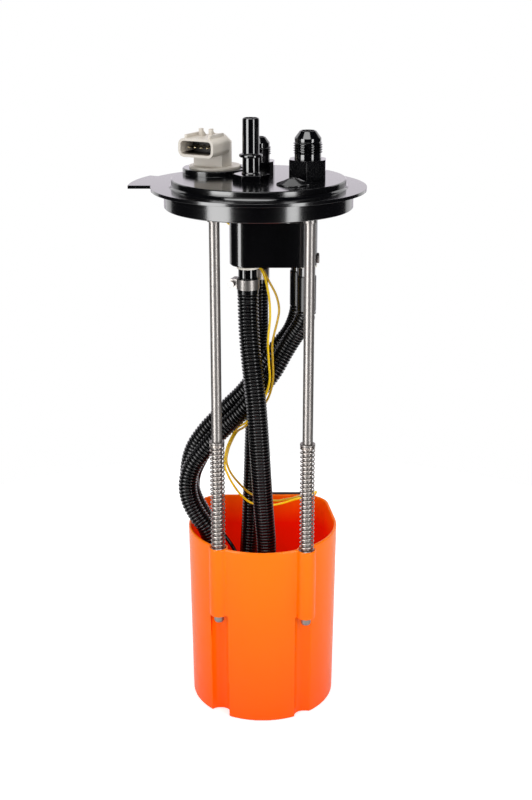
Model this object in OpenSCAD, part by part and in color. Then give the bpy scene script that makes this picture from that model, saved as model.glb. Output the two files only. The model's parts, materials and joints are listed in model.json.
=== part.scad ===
// In-tank fuel lift pump module: a tank cover with its ports, and a spring-loaded reservoir bucket
// that slides on two guide rods and holds the pump. Millimetres.
// Origin: cover axis at the underside of the cover's lip. +Z up, -Y to the front, +X to the right.

/* [Cover] */
// Radius of the lip that the tank's lock ring clamps
lip_r = 82.5; // [81:0.5:90]
// Thickness of the lip and its tab
lip_t = 2.5; // [2:0.5:5]
// Radius of the raised hat
hat_r = 66.8; // [66:0.1:70]
// Height of the hat above the lip
hat_h = 6; // [5:0.5:10]
// Outer radius of the spigot that enters the tank neck
spigot_r = 72.5; // [70:0.5:76]
// Depth of the spigot below the lip
spigot_h = 13.3; // [10:0.1:15]
// Wall of the spigot
spigot_wall = 3.5; // [3:0.25:3.9]
// Outer radius of the locating tab
tab_r = 100; // [96:1:104]
// Outer radius of the shallow ear behind the tab
ear_r = 92.5; // [88:0.5:95]
// Edge break on the turned edges
edge = 0.6; // [0.3:0.1:1]

/* [Connector] */
// Radius of the boss under the connector
boss_r = 25.5; // [24:0.5:26]
// Height of that boss
boss_h = 4.2; // [3:0.1:7]
// Radius of the connector's base disc
disc_r = 20.2; // [19:0.1:22]
// Thickness of the base disc
disc_t = 1.7; // [1.2:0.1:3]
// Width of the shroud at its mouth
shroud_w = 30.4; // [28:0.2:33]
// Height of the shroud at its mouth
shroud_h = 14.2; // [13:0.1:17]
// Wall of the shroud
shroud_wall = 2; // [1.5:0.1:2.5]
// Depth of the socket behind the mouth
socket_d = 18; // [14:0.5:20]
// Turn of the shroud from straight ahead, towards the left, in degrees
shroud_yaw = 27; // [0:1:40]
// Distance from the base disc's centre to the mouth
shroud_reach = 30; // [29:0.5:34]
// Space between the contact pins
pin_pitch = 5.4; // [5:0.1:5.8]
// Radius of a contact pin
contact_r = 0.8; // [0.6:0.1:1]

/* [Ports] */
// Outer radius of the quick connect stem
stem_r = 6.35; // [5:0.05:8]
// Wall of the quick connect stem
stem_wall = 1.5; // [1:0.1:2]
// Height of the stem's end above the hat
stem_h = 46.3; // [42:0.1:52]
// Radius of the stem's retaining bead
bead_r = 8.9; // [8.5:0.1:10]
// Thread radius of the large flare port
flare_big_r = 11.1; // [10.5:0.05:12]
// Thread radius of the small flare port
flare_small_r = 9.5; // [9:0.05:10]
// Base radius of the vent valve's cone
vent_r = 12.3; // [11:0.1:13]
// Height of the vent valve's cone
vent_h = 4.7; // [4:0.1:6]
// Lift of the vent float before it closes the valve
vent_travel = 5; // [3:0.5:6]

/* [Manifold] */
// Width of the manifold block
block_w = 67.5; // [66:0.5:68]
// Depth of the manifold block, front to back
block_d = 56; // [55:0.5:58]
// Height of the manifold block
block_h = 57; // [50:0.5:60]
// Radius of the block's upright corners
block_corner = 14; // [8:0.5:15]
// Radius of the bores through the block
gallery_r = 4.2; // [3:0.1:4.5]

/* [Guide rods] */
// Radius of the guide rods
rod_r = 4; // [3:0.1:4.2]
// Length of the rods below the guide tubes
rod_tail = 7; // [4:0.5:20]
// Running clearance round the rods
run_fit = 0.06; // [0.02:0.01:0.1]
// Mean radius of the springs
coil_r = 5.35; // [5.2:0.05:5.6]
// Radius of the spring wire
coil_wire_r = 0.55; // [0.4:0.05:0.6]
// Turns of each spring
coil_turns = 26; // [20:1:30]
// Length of each spring at rest
coil_len = 92; // [85:0.5:100]
// Depth of the springs' seats below the bucket rim
spring_seat = 4; // [2:0.5:6]

/* [Bucket] */
// Radius of the bucket at its rim
bucket_r = 61.5; // [60.5:0.5:62.5]
// Size of the bucket's outline at its floor, as a share of the rim's
bucket_draft = 0.97; // [0.95:0.005:1]
// Height of the bucket
bucket_h = 153.5; // [150:0.5:165]
// Depth of the bucket's rim below the lip
rim_depth = 278; // [275:0.5:280]
// Wall of the bucket
bucket_wall = 2.2; // [1.8:0.1:2.6]
// Thickness of the bucket's floor
floor_t = 2.5; // [2:0.1:3]
// Distance of the bucket's flat back from the cover's axis
back_y = 61; // [60:0.5:62]
// Radius of the bucket's back corners
back_corner = 22; // [18:0.5:24]
// Outer radius of the guide tubes
tube_r = 7.6; // [7.2:0.1:8]
// Length of the guide tubes
tube_len = 60; // [50:1:60]
// Radius of the grooves below the guide tubes
groove_r = 8.6; // [8:0.1:9]

/* [Pump] */
// Outer radius of the pump's steel can
can_r = 19; // [18:0.1:19.5]
// Wall of the can
can_wall = 1.2; // [0.8:0.1:1.5]
// Length of the can
can_len = 66; // [62:0.5:68]
// Radius of the motor shaft
shaft_r = 1.6; // [1.2:0.1:2]
// Thickness of the magnets
magnet_t = 3; // [2:0.1:3.2]
// Air gap between armature and magnets
air_gap = 0.8; // [0.5:0.1:1]
// Radius of the impeller
impeller_r = 14; // [12:0.5:15]
// Thickness of the rubber sleeve round the pump
sleeve_t = 2.4; // [1.5:0.1:3]

/* [Hoses and wires] */
// Outer radius of the supply hose
supply_r = 8.2; // [7.8:0.1:8.3]
// Outer radius of the other hoses and the loom
hose_r = 7.6; // [7:0.1:7.7]
// Radius of the black pump cable
cable_r = 1.6; // [1:0.1:1.7]
// Radius of the sender wires
wire_r = 0.9; // [0.6:0.1:1]
// Inner radius of the hose ends
nipple_r = 5; // [4:0.1:5.5]
// Width of the hose clamps
clamp_w = 8; // [6:0.5:9]

/* [Level sender] */
// Width of the sender housing
sender_w = 40; // [36:1:42]
// Height of the sender housing
sender_h = 48; // [44:1:52]
// Length of the float arm
arm_len = 103; // [95:1:103]
// Radius of the float arm's wire
arm_r = 1.1; // [0.8:0.1:1.3]
// Width of the float
float_w = 22; // [18:1:26]
// Thickness of the float
float_t = 10; // [8:0.5:11]
// Height of the float
float_h = 36; // [30:1:38]

/* [Hidden] */
$fn = 64;
eps = 0.01;
// Clearance of a part that is seated in a bore or pocket
seat_fit = 0.05;
// Clearance of a part that moves freely
free_fit = 0.3;

ANODISED = [0.10, 0.10, 0.11];
STEEL = [0.78, 0.76, 0.74];
GREY_PLASTIC = [0.74, 0.71, 0.67];
ORANGE = [1.00, 0.45, 0.14];
RUBBER = [0.09, 0.09, 0.09];
HOSE_BLACK = [0.05, 0.05, 0.05];
BRASS = [0.80, 0.65, 0.35];
YELLOW = [1.00, 0.80, 0.00];
OCHRE = [0.72, 0.50, 0.08];
NATURAL = [0.86, 0.84, 0.78];
COPPER = [0.75, 0.42, 0.25];
MAGNET = [0.25, 0.25, 0.27];

// Cover levels
hat_z = lip_t + hat_h;
boss_z = hat_z + boss_h;
ceiling_z = 0;
pocket_r = spigot_r - spigot_wall;
tab_front_y = -1;
tab_back_angle = 150.5;
ear_back_angle = 127;

// Places of the ports, seen from above
stem_at = [-5.7, -14];
supply_at = [-8.4, -14];
return_at = [0, 22];
draw_at = [37, -8.5];
loom_at = [32, 10];
vent_at = [25.4, -33.5];
boss_at = [-34, 25.5];

// Manifold block
block_at = [11.3, 6];
block_z = ceiling_z - block_h;
screw_at = [[-16, 10], [15, -14], [18, 27]];
screw_r = 2.5;
screw_head_r = 4.25;
screw_head_h = 5;
screw_grip = 5;
plug_r = 4;
plug_z = block_z + 5;
plug_shank = 2;

// Port fittings: [place, thread radius, hexagon across flats, hexagon height, thread start, thread end]
flare_big = [draw_at, flare_big_r, 27.2, 15.4, 18.9, 28.4];
flare_small = [return_at, flare_small_r, 23.8, 9.8, 13.7, 21];
stem_hex_af = 23.8;
stem_hex_h = 5;
bead_z = 17.5;
bead_h = 2.6;
port_stub_r = 8;
stem_stub_r = 6.9;
port_stub_len = 7;
seal_wire_r = 1;

// Guide rods and springs
rod_at = [[-32.5, -46.5], [37.8, -51.5]];
rod_seat = lip_t - 0.5;
nut_r = 5.1;
nut_h = 16.5;
rim_z = -rim_depth;
spring_low_z = rim_z - spring_seat;
spring_top_z = spring_low_z + coil_len;
stop_t = 1.5;
stop_r = 5.9;
clip_t = 1.2;
clip_r = 5.6;
clip_recess_r = 6.4;
tube_low_z = rim_z - tube_len;
clip_recess = 8;
clip_z = tube_low_z + clip_recess - clip_t;
rod_reach = rod_tail - tube_low_z;
seat_bore_r = coil_r + coil_wire_r + 0.4;

// Bucket
bucket_at = [2.8, 1.5];
floor_z = rim_z - bucket_h;
inside_z = floor_z + floor_t;
back_half = 35;

// Pump levels, from the bucket's floor up
pump_at = [10, 4];
strainer_h = 4;
inlet_z = inside_z + strainer_h + 0.5;
inlet_h = 6;
can_z = inlet_z + inlet_h;
can_top_z = can_z + can_len;
can_in_r = can_r - can_wall;
chamber_h = 4;
plate_t = 3;
plate_z = can_z + chamber_h;
magnet_z = plate_z + plate_t + 2;
magnet_h = 36;
armature_r = can_in_r - magnet_t - air_gap - seat_fit;
cap_in = 9;
cap_z = can_top_z - cap_in;
cap_h = 10;
cap_top_z = can_top_z + cap_h;
commutator_r = 6.5;
commutator_h = 8;
commutator_z = cap_z - commutator_h - 1;
bush_r = 4;
bush_h = 4;
brush_len = 5;
sleeve_low = 16;
sleeve_len = 26;
bracket_low = 19;
bracket_h = 20;
outlet_at = pump_at + [-4, -13];
outlet_low_z = can_top_z + 1;
outlet_len = 24;
outlet_bore_r = 3.4;
poppet_r = 2.9;
poppet_h = 4;
check_spring_len = 7;
socket_at = pump_at + [-can_r + 4, 6];
plug_len = 14;

// Return jet, draw pickup and valves on the bucket's floor
jet_at = [-14, 32];
jet_r = 5.5;
jet_len = 28;
jet_z = inside_z + 7;
jet_top_z = inside_z + 42;
pickup_at = [-36, -9];
pickup_r = 9;
pickup_top_z = inside_z + 40;
umbrella_at = [40, 22];
umbrella_r = 7;

// Hose ends
cuff_top_gap = 8.5;
washer_t = 1.6;
supply_cuff = 13;
return_cuff = 13;
draw_cuff = 28;
cuff_low = 14;
cuff_start_z = block_z - cuff_top_gap;
band_t = 0.7;

// Level sender
sender_at_x = 16;
sender_y = back_y + 0.3;
sender_t = 3;
sender_body_t = 8;
sender_top_z = rim_z + 0.5;
pivot_z = sender_top_z - 22;
pivot_r = 2.5;
arm_y = sender_y + sender_body_t + 2;

// Routes of the hoses and wires, top to bottom, as they hang
supply_route = [
    [-8.4, -14, -78.8], [-8.4, -14, -84], [-7.8, -16.5, -104], [-6.6, -19.5, -122], [-4.8, -21.5, -140],
    [-2, -22.5, -168], [0.5, -20.5, -206], [3, -15.5, -250], [5.5, -11, -285], [6, -9, -302],
    [6, -9, -317.2]
];
return_route = [
    [0, 22, -78.8], [0, 22, -84], [0, 25, -102], [0, 29, -122], [-1, 31, -142], [-3, 31.5, -175],
    [-5, 30, -223], [-7, 28, -275], [-10, 29, -325], [-13, 31, -358], [-14, 32, -374],
    [-14, 32, -385.7]
];
draw_route = [
    [37, -8.5, -93.8], [37, -8.5, -97], [33, -5, -107], [27, -1.5, -117.5], [20, 0, -130],
    [12, 0, -145], [3.5, 0, -157], [-6, 0, -170], [-15, 0, -181], [-23, 0, -189], [-34, -0.5, -200],
    [-46, -2.5, -214], [-55, -4.5, -227], [-58.5, -6.5, -241], [-56.5, -8, -255], [-50, -9.5, -268],
    [-42.5, -10.5, -280], [-38, -10.5, -300], [-36.5, -9.5, -340], [-36, -9, -374],
    [-36, -9, -387.7]
];
loom_route = [
    [32, 10, -93.8], [32, 10, -97], [30, 12, -106], [25.5, 14, -117], [18, 15, -127],
    [8.8, 15, -139], [1, 15, -150], [-7.5, 15, -162], [-15, 15, -171], [-24, 15, -180],
    [-34, 14.5, -190.5], [-44, 13.5, -201.5], [-53, 12, -215], [-57.5, 11, -230], [-58, 10.5, -246],
    [-54, 10, -261], [-46.5, 9.5, -276], [-40, 9.5, -294], [-38.5, 10, -314], [-38, 10, -330],
    [-35.5, 10, -341], [-30.5, 10, -347.5], [-26.3, 10, -347.5]
];
cable_route = [
    [-29, 30, -3.3], [-29, 30, -9], [-26, 35, -22], [-20, 40.5, -34], [-12, 44.5, -50],
    [-8, 44.5, -80], [-8, 43.5, -140], [-12, 43, -172], [-24, 37, -195], [-35, 29, -213], [-44, 25, -230],
    [-50.5, 23, -244], [-51.5, 22.5, -257], [-47, 22, -271], [-41, 20.5, -284], [-30, 15, -296],
    [-21.5, 8, -306], [-16.5, 8, -320], [-14, 9, -336], [-14, 9, -344.4]
];
yellow_route = [
    [-33, 24, -3.3], [-33, 24, -8], [-29.5, 26.5, -20], [-25.5, 29.5, -31], [-20, 34.5, -36.5],
    [-15, 36, -46], [-10, 36, -57], [-9, 33, -60], [-9, 20, -60.5], [-9.5, 6, -60.5], [-6, 1, -60],
    [0, -3, -60.5],
    [3, -4.7, -64], [5.7, -6, -71.5], [8.2, -8, -85], [8.8, -10, -97], [8.3, -11, -105.5],
    [7.4, -12, -114], [7.2, -12, -124], [8, -12, -137], [8.5, -12, -150], [5, -11.6, -163],
    [-2, -10.5, -175], [-7, -7, -183.5], [-10.8, -1, -189.5], [-14, 5, -193.5], [-18, 8.5, -197.5],
    [-21.9, 7, -203.5], [-26, 5, -212.4], [-28.1, 2.5, -221.7], [-28.1, 3, -229.9], [-26.4, 5, -236],
    [-22.8, 8, -245.2], [-16.5, 11, -256.4], [-9.2, 13.5, -264.7],
    [-3, 14, -267.5], [4, 15, -269.5], [14.2, 19, -270], [21, 23, -270], [28.6, 30, -270.5],
    [35.4, 38, -272], [42, 49, -274], [47.5, 57, -275.3], [49.5, 61.5, -276], [49, 64.5, -279.5],
    [44, 64.5, -285], [39, 62.8, -286.5], [36.4, 62.8, -286.5]
];
ochre_route = [
    [-36, 22, -3.3], [-36, 22, -8], [-33.5, 26.5, -16], [-28.5, 31.5, -25],
    [-20.5, 36, -33], [-16, 39.8, -44],
    [-12, 40, -59], [-12, 34, -62.5], [-12, 20, -63], [-12, 7, -63], [-8, 3.5, -62.5],
    [0, 0, -62], [3.5, -2, -63.5], [8.2, -3.5, -72], [13.5, -4, -82.5], [15.8, -6, -92.5],
    [14.8, -8, -101], [11.8, -10.2, -113], [10.5, -11.8, -121], [11, -12, -135], [11, -12, -150],
    [7.4, -11.8, -164.5], [-1, -12.2, -177.5], [-6.4, -9.4, -185], [-10.2, -3.8, -190.5],
    [-13.4, 2.4, -195.3], [-17.6, 6, -199.2], [-21.2, 4.6, -204.5], [-25, 2.4, -213],
    [-26.7, 0, -221], [-26, 0.8, -227.3], [-22.7, 4, -236.4], [-16.4, 9, -247], [-10.1, 13, -255.3],
    [-5.4, 15, -259.5], [2, 17.5, -264], [14.2, 21.5, -267.5], [21, 26, -268.5], [28.6, 33, -270],
    [35.5, 42, -271.5], [42, 53.5, -273.2], [45, 59.5, -274.8], [46, 63, -276.2], [44, 65, -280],
    [39.5, 62.8, -282.5], [36.4, 62.8, -282.5]
];

// Shapes that repeat

// Moves its children to a place seen from above and a level
module at(place, z) {
    translate([place[0], place[1], z]) children();
}

// Cylinder with a broken edge at the top
module turned(r, h, top = edge) {
    rotate_extrude() polygon([[0, 0], [r, 0], [r, h - top], [r - top, h], [0, h]]);
}

// Tube
module tube(r, bore, h) {
    difference() {
        cylinder(r = r, h = h);
        translate([0, 0, -1]) cylinder(r = bore, h = h + 2);
    }
}

// Hexagon prism by its width across flats
module hexagon(af, h) {
    rotate([0, 0, 30]) cylinder(r = af / sqrt(3), h = h, $fn = 6);
}

// Ring of round section
module ring(r, wire) {
    rotate_extrude() translate([r, 0]) circle(r = wire, $fn = 24);
}

// Flat plate with four round corners, made of true arcs
module round_plate(w, d, corner) {
    square([w - 2 * corner, d], center = true);
    square([w, d - 2 * corner], center = true);
    for (x = [-1, 1], y = [-1, 1])
        translate([x * (w / 2 - corner), y * (d / 2 - corner)]) circle(r = corner);
}

// Sector of a disc between two angles
module sector(r, from, to) {
    steps = 6;
    reach = 2 * r;
    intersection() {
        circle(r = r, $fn = 180);
        polygon(concat([[0, 0]], [for (i = [0:steps])
            let (a = from + (to - from) * i / steps) [reach * cos(a), reach * sin(a)]]));
    }
}

// Points of a smooth curve through the given points, with n steps in each span
function smooth(p, n) = concat(
    [for (i = [0:len(p) - 2], j = [0:n - 1])
        let (
            t = j / n,
            a = p[max(i - 1, 0)],
            b = p[i],
            c = p[i + 1],
            d = p[min(i + 2, len(p) - 1)]
        )
        0.5 * (2 * b + (c - a) * t + (2 * a - 5 * b + 4 * c - d) * t * t
            + (3 * b - a - 3 * c + d) * t * t * t)],
    [p[len(p) - 1]]
);

// A hose's curve: straight out of both ends and smooth between them
function hose_curve(p) = concat(
    [p[0]], smooth([for (i = [1:len(p) - 2]) p[i]], 2), [p[len(p) - 1]]
);

function unit(v) = v / norm(v);

// Direction of a curve at each of its points
function headings(p) = [for (i = [0:len(p) - 1])
    unit(p[min(i + 1, len(p) - 1)] - p[max(i - 1, 0)])];

// A side direction at each point, carried along so that the rings don't twist
function sides(h, i = 0, s = [1, 0, 0]) =
    i >= len(h) ? [] :
    let (now = unit(s - (s * h[i]) * h[i]))
    concat([now], sides(h, i + 1, now));

// Closed tube swept along points, as one polyhedron
module sweep(p, r, count) {
    h = headings(p);
    s = sides(h);
    rings = len(p);
    points = [for (i = [0:rings - 1], k = [0:count - 1])
        let (a = 360 * k / count)
        p[i] + r * (cos(a) * s[i] + sin(a) * cross(h[i], s[i]))];
    walls = [for (i = [0:rings - 2], k = [0:count - 1])
        let (n = (k + 1) % count)
        [i * count + k, (i + 1) * count + k, (i + 1) * count + n, i * count + n]];
    first = [for (k = [0:count - 1]) k];
    last = [for (k = [count - 1:-1:0]) (rings - 1) * count + k];
    polyhedron(points = points, faces = concat([first], walls, [last]), convexity = 8);
}

// Helical compression spring standing on z = 0, with closed ends
module helical_spring(r, wire, length, turns) {
    per_turn = 10;
    closed = 1.5;
    steps = turns * per_turn;
    rise = length - 2 * wire;
    coils = [for (i = [0:steps])
        let (
            t = i / per_turn,
            dead = 2 * closed * 2 * wire,
            pitch = (rise - dead) / (turns - 2 * closed),
            z = t < closed ? t * 2 * wire
                : t > turns - closed ? rise - (turns - t) * 2 * wire
                : closed * 2 * wire + (t - closed) * pitch
        )
        [r * cos(360 * t), r * sin(360 * t), wire + z]];
    sweep(coils, wire, 6);
}

// Cover

module cover_outline_plate() {
    linear_extrude(lip_t) {
        circle(r = lip_r, $fn = 180);
        intersection() {
            sector(tab_r, tab_back_angle, 190);
            translate([-2 * tab_r, tab_front_y]) square([2 * tab_r, 2 * tab_r]);
        }
        sector(ear_r, ear_back_angle, tab_back_angle + 1);
    }
}

module boss() {
    intersection() {
        at(boss_at, hat_z) turned(boss_r, boss_h);
        cylinder(r = hat_r, h = 2 * boss_z);
    }
}

module port_hole(place, r) {
    at(place, ceiling_z - 1) cylinder(r = r + seat_fit, h = hat_z + 2);
    at(place, hat_z - 2 * seal_wire_r - seat_fit)
        cylinder(r = r + 2 * seal_wire_r + 3 * seat_fit, h = 2 * seal_wire_r + 1);
}

module cover_plate() {
    color(ANODISED) difference() {
        union() {
            cover_outline_plate();
            at([0, 0], ceiling_z) turned(hat_r, hat_z);
            at([0, 0], -spigot_h) rotate_extrude() polygon([
                [pocket_r, 0], [spigot_r - edge, 0], [spigot_r, edge],
                [spigot_r, spigot_h + eps], [pocket_r, spigot_h + eps]
            ]);
            boss();
        }
        port_hole(stem_at, stem_stub_r);
        port_hole(return_at, port_stub_r);
        port_hole(draw_at, port_stub_r);
        at(return_at, hat_z) cylinder(r = flare_small[2] / sqrt(3) + free_fit, h = boss_h + 1);
        at(vent_at, ceiling_z - 1) cylinder(r = vent_neck_r + seat_fit, h = hat_z + 2);
        at(boss_at, ceiling_z - 1) cylinder(r = socket_stub_r + seat_fit, h = boss_z + 2);
        at(boss_at, boss_z - seal_wire_r * 2 - seat_fit)
            cylinder(r = socket_stub_r + 2 * seal_wire_r + 3 * seat_fit, h = 2 * seal_wire_r + 1);
        for (place = rod_at) {
            at(place, ceiling_z - 1) cylinder(r = rod_r + seat_fit, h = rod_seat + 1);
            at(place, -nut_h - 1) cylinder(r = nut_r + free_fit, h = nut_h + 1);
        }
        for (place = screw_at)
            at(place, ceiling_z - 1) cylinder(r = screw_r + seat_fit, h = screw_grip + 1 + seat_fit);
        at(loom_at, ceiling_z - 1) cylinder(r = gallery_r, h = 1 + 3);
    }
}

// Connector

socket_stub_r = 10;
socket_z = boss_z + disc_t + 9.1;
pillar_top_z = socket_z + shroud_h;
pillar_r = 12.5;
contact_len = 16;
contact_tip = 9;

// Places its children in the shroud's own frame: the mouth at y = 0, the socket towards +Y
module in_shroud() {
    at(boss_at, socket_z) rotate([0, 0, -shroud_yaw]) translate([0, -shroud_reach, 0]) children();
}

module shroud_shape(inset, length) {
    translate([0, length, shroud_h / 2]) rotate([90, 0, 0])
        linear_extrude(length) round_plate(shroud_w - 2 * inset, shroud_h - 2 * inset, 5 - inset);
}

module shroud_rails() {
    rail_w = 2;
    rail_h = 2.4;
    rail_len = 21;
    for (x = [-1, 1])
        translate([x * (shroud_w / 2 - 5) - rail_w / 2, 3, shroud_h - 1])
            cube([rail_w, rail_len, rail_h + 1]);
}

module lock_posts() {
    post_w = 2.6;
    post_h = 6;
    for (x = [-1, 1])
        translate([x * 4.3 - post_w / 2, 15, shroud_h - 1]) {
            cube([post_w, 3, post_h + 1]);
            translate([post_w / 2 - 0.6, 3, 0]) rotate([90, 0, 90])
                linear_extrude(1.2) polygon([[0, 0], [6, 0], [6, 1], [0, post_h]]);
        }
}

module connector_housing() {
    color(GREY_PLASTIC) difference() {
        union() {
            at(boss_at, boss_z) turned(disc_r, disc_t, 0.4);
            at(boss_at, ceiling_z - 3) cylinder(r = socket_stub_r, h = boss_z - ceiling_z + 3);
            at(boss_at, boss_z + disc_t - eps) rotate([0, 0, -shroud_yaw]) {
                pillar_h = pillar_top_z - boss_z - disc_t;
                translate([0, 1, 0]) {
                    turned(pillar_r, pillar_h, 5);
                    translate([-pillar_r, -pillar_r, 0]) cube([2 * pillar_r, pillar_r, pillar_h - 5]);
                }
            }
            in_shroud() {
                shroud_shape(0, shroud_reach - 4);
                shroud_rails();
                lock_posts();
            }
        }
        in_shroud() translate([0, -eps, 0]) shroud_shape(shroud_wall, socket_d);
        in_shroud() contact_row(seat_fit);
    }
}

module contact_row(grow) {
    for (i = [0:3])
        translate([(i - 1.5) * pin_pitch, contact_tip, shroud_h / 2]) rotate([-90, 0, 0])
            cylinder(r = contact_r + grow, h = contact_len, $fn = 24);
}

module connector_pins() {
    color(BRASS) in_shroud() contact_row(0);
}

module connector_seal() {
    color(RUBBER) at(boss_at, boss_z - seal_wire_r)
        ring(socket_stub_r + seal_wire_r + seat_fit, seal_wire_r - seat_fit);
}

// Vent valve

vent_neck_r = 8;
vent_cup_r = 8.6;
vent_cup_z = -19;
vent_bore_r = 6.9;
vent_hole_r = 2.6;
vent_floor = 1.6;
vent_seat_z = 3;
vent_float_z = vent_cup_z + vent_floor;
vent_seal_h = vent_seat_z - vent_travel - vent_float_z;

module vent_valve_body() {
    cone_top_r = vent_r / 2 + 0.3;
    color(ANODISED) at(vent_at, 0) difference() {
        rotate_extrude() polygon([
            [vent_hole_r, hat_z + vent_h], [vent_hole_r, vent_seat_z], [vent_bore_r, vent_seat_z],
            [vent_bore_r, vent_float_z], [0, vent_float_z], [0, vent_cup_z], [vent_cup_r, vent_cup_z],
            [vent_cup_r, ceiling_z], [vent_neck_r, ceiling_z], [vent_neck_r, hat_z], [vent_r, hat_z],
            [vent_r, hat_z + 0.8], [cone_top_r, hat_z + vent_h]
        ]);
        for (a = [0:120:240])
            rotate([0, 0, a]) translate([3.6, 0, vent_cup_z - 1]) cylinder(r = 1.3, h = vent_floor + 2);
    }
}

module vent_float() {
    color(NATURAL) at(vent_at, vent_float_z) rotate_extrude() polygon([
        [0, 0], [vent_bore_r - free_fit, 0], [vent_bore_r - free_fit, 9], [vent_hole_r + 1, 10.5],
        [vent_hole_r + 1, vent_seal_h - 1.1], [vent_hole_r - 0.1, vent_seal_h],
        [0.8, vent_seal_h + 3], [0, vent_seal_h + 3]
    ]);
}

// Port fittings

module stub(place, r) {
    at(place, hat_z - port_stub_len) cylinder(r = r, h = port_stub_len + eps);
}

module quick_connect_stem() {
    color(ANODISED) difference() {
        union() {
            stub(stem_at, stem_stub_r);
            at(stem_at, hat_z) {
                intersection() {
                    rotate([0, 0, 30]) hexagon(stem_hex_af, stem_hex_h);
                    turned(stem_hex_af / sqrt(3), stem_hex_h, 1);
                }
                turned(stem_r, stem_h, 0.8);
                translate([0, 0, bead_z]) rotate_extrude() polygon([
                    [0, 0], [bead_r - 0.5, 0], [bead_r, 0.5], [bead_r, bead_h - 0.8],
                    [bead_r - 0.8, bead_h], [0, bead_h]
                ]);
            }
        }
        at(stem_at, hat_z - port_stub_len - 1)
            cylinder(r = stem_r - stem_wall, h = port_stub_len + stem_h + 2);
    }
}

// Flare port: hexagon, neck, threaded body and 37 degree cone
module flare_fitting(f) {
    r = f[1];
    neck = r - 1;
    top = r * 0.54;
    cone_z = f[5] + 2.6;
    end_z = cone_z + (neck - top) / tan(37);
    color(ANODISED) difference() {
        union() {
            stub(f[0], port_stub_r);
            at(f[0], hat_z) {
                intersection() {
                    hexagon(f[2], f[3]);
                    turned(f[2] / sqrt(3), f[3], 1.2);
                }
                rotate_extrude() polygon([
                    [0, 0], [neck, 0], [neck, f[4]], [r, f[4] + 0.8], [r, f[5] - 0.8], [neck, f[5]],
                    [neck, cone_z], [top, end_z], [0, end_z]
                ]);
            }
        }
        at(f[0], hat_z - port_stub_len - 1) cylinder(r = top - 1.2, h = port_stub_len + end_z + 2);
    }
}

module draw_fitting() {
    flare_fitting(flare_big);
}

module return_fitting() {
    flare_fitting(flare_small);
}

module fitting_seals() {
    color(RUBBER) for (s = [[stem_at, stem_stub_r], [return_at, port_stub_r], [draw_at, port_stub_r]])
        at(s[0], hat_z - seal_wire_r) ring(s[1] + seal_wire_r + seat_fit, seal_wire_r - seat_fit);
}

// Manifold

barb_stub_r = 6;
barb_stub_len = 10;
ports_below = [[supply_at, supply_cuff, supply_r], [return_at, return_cuff, hose_r],
    [draw_at, draw_cuff, hose_r]];

module port_manifold() {
    color(ANODISED) difference() {
        at(block_at, block_z) union() {
            translate([0, 0, 1]) linear_extrude(block_h - 1)
                round_plate(block_w, block_d, block_corner);
            linear_extrude(1 + eps) round_plate(block_w - 2, block_d - 2, block_corner - 1);
        }
        for (p = ports_below) {
            at(p[0], block_z - 1) cylinder(r = gallery_r, h = block_h + 2);
            at(p[0], block_z - 1) cylinder(r = barb_stub_r + seat_fit, h = barb_stub_len + 1 + seat_fit);
        }
        at(loom_at, block_z - 1) cylinder(r = gallery_r, h = block_h + 2);
        for (place = screw_at) {
            at(place, block_z - 1) cylinder(r = screw_r + seat_fit, h = block_h + 2);
            at(place, block_z - 1) cylinder(r = screw_head_r + seat_fit, h = screw_head_h + 1);
        }
        translate([block_at[0] + block_w / 2 - plug_shank - seat_fit, draw_at[1], plug_z])
            rotate([0, 90, 0]) cylinder(r = plug_r * 0.8 + seat_fit, h = 2 * plug_shank);
    }
}

module manifold_screws() {
    color(STEEL) for (place = screw_at) at(place, block_z) difference() {
        union() {
            cylinder(r = screw_head_r, h = screw_head_h - seat_fit);
            cylinder(r = screw_r, h = block_h + screw_grip);
        }
        translate([0, 0, -1]) hexagon(4, 3.5);
    }
}

module gallery_plug() {
    color(STEEL) translate([block_at[0] + block_w / 2, draw_at[1], plug_z]) rotate([0, 90, 0])
        difference() {
            union() {
                translate([0, 0, -plug_shank]) cylinder(r = plug_r * 0.8, h = plug_shank + eps);
                turned(plug_r, 1.6, 0.4);
            }
            translate([0, 0, 0.4]) hexagon(4, 3);
        }
}

// Hose nipple hanging from z = 0: stub above, collar and ribbed tail below
module nipple(collar_r, tail) {
    difference() {
        union() {
            cylinder(r = barb_stub_r, h = barb_stub_len);
            translate([0, 0, -cuff_top_gap]) cylinder(r = collar_r, h = cuff_top_gap);
            translate([0, 0, -cuff_top_gap - tail]) rotate_extrude() polygon([
                [0, 0], [nipple_r - 1.2, 0], [nipple_r, 1.5], [nipple_r, tail + eps], [0, tail + eps]
            ]);
        }
        translate([0, 0, -cuff_top_gap - tail - 1])
            cylinder(r = nipple_r - 1.6, h = cuff_top_gap + tail + barb_stub_len + 2);
    }
}

module manifold_barbs() {
    color(ANODISED) for (p = ports_below) at(p[0], block_z) nipple(p[2] - 0.8, p[1] - 1);
    color(ANODISED) at(loom_at, cuff_start_z) tube(hose_r - 0.8, gallery_r, cuff_top_gap);
}

// Washers between the block and the hoses' nipples
module barb_washers() {
    color(NATURAL) {
        for (p = ports_below)
            at(p[0], block_z - washer_t) tube(p[2] + 0.4, p[2] - 0.8 + seat_fit, washer_t);
        at(loom_at, block_z - washer_t) tube(hose_r - 0.1, hose_r - 0.8 + seat_fit, washer_t);
    }
}

// Smooth ends of the hoses over the nipples
module upper_hose_ends() {
    color(HOSE_BLACK) {
        for (p = ports_below) at(p[0], cuff_start_z - p[1]) difference() {
            turned(p[2], p[1], 0.5);
            translate([0, 0, 1]) cylinder(r = nipple_r + seat_fit, h = p[1]);
        }
        at(loom_at, cuff_start_z - draw_cuff) difference() {
            turned(hose_r, draw_cuff, 0.5);
            translate([0, 0, 1]) cylinder(r = gallery_r, h = draw_cuff);
        }
    }
}

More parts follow.
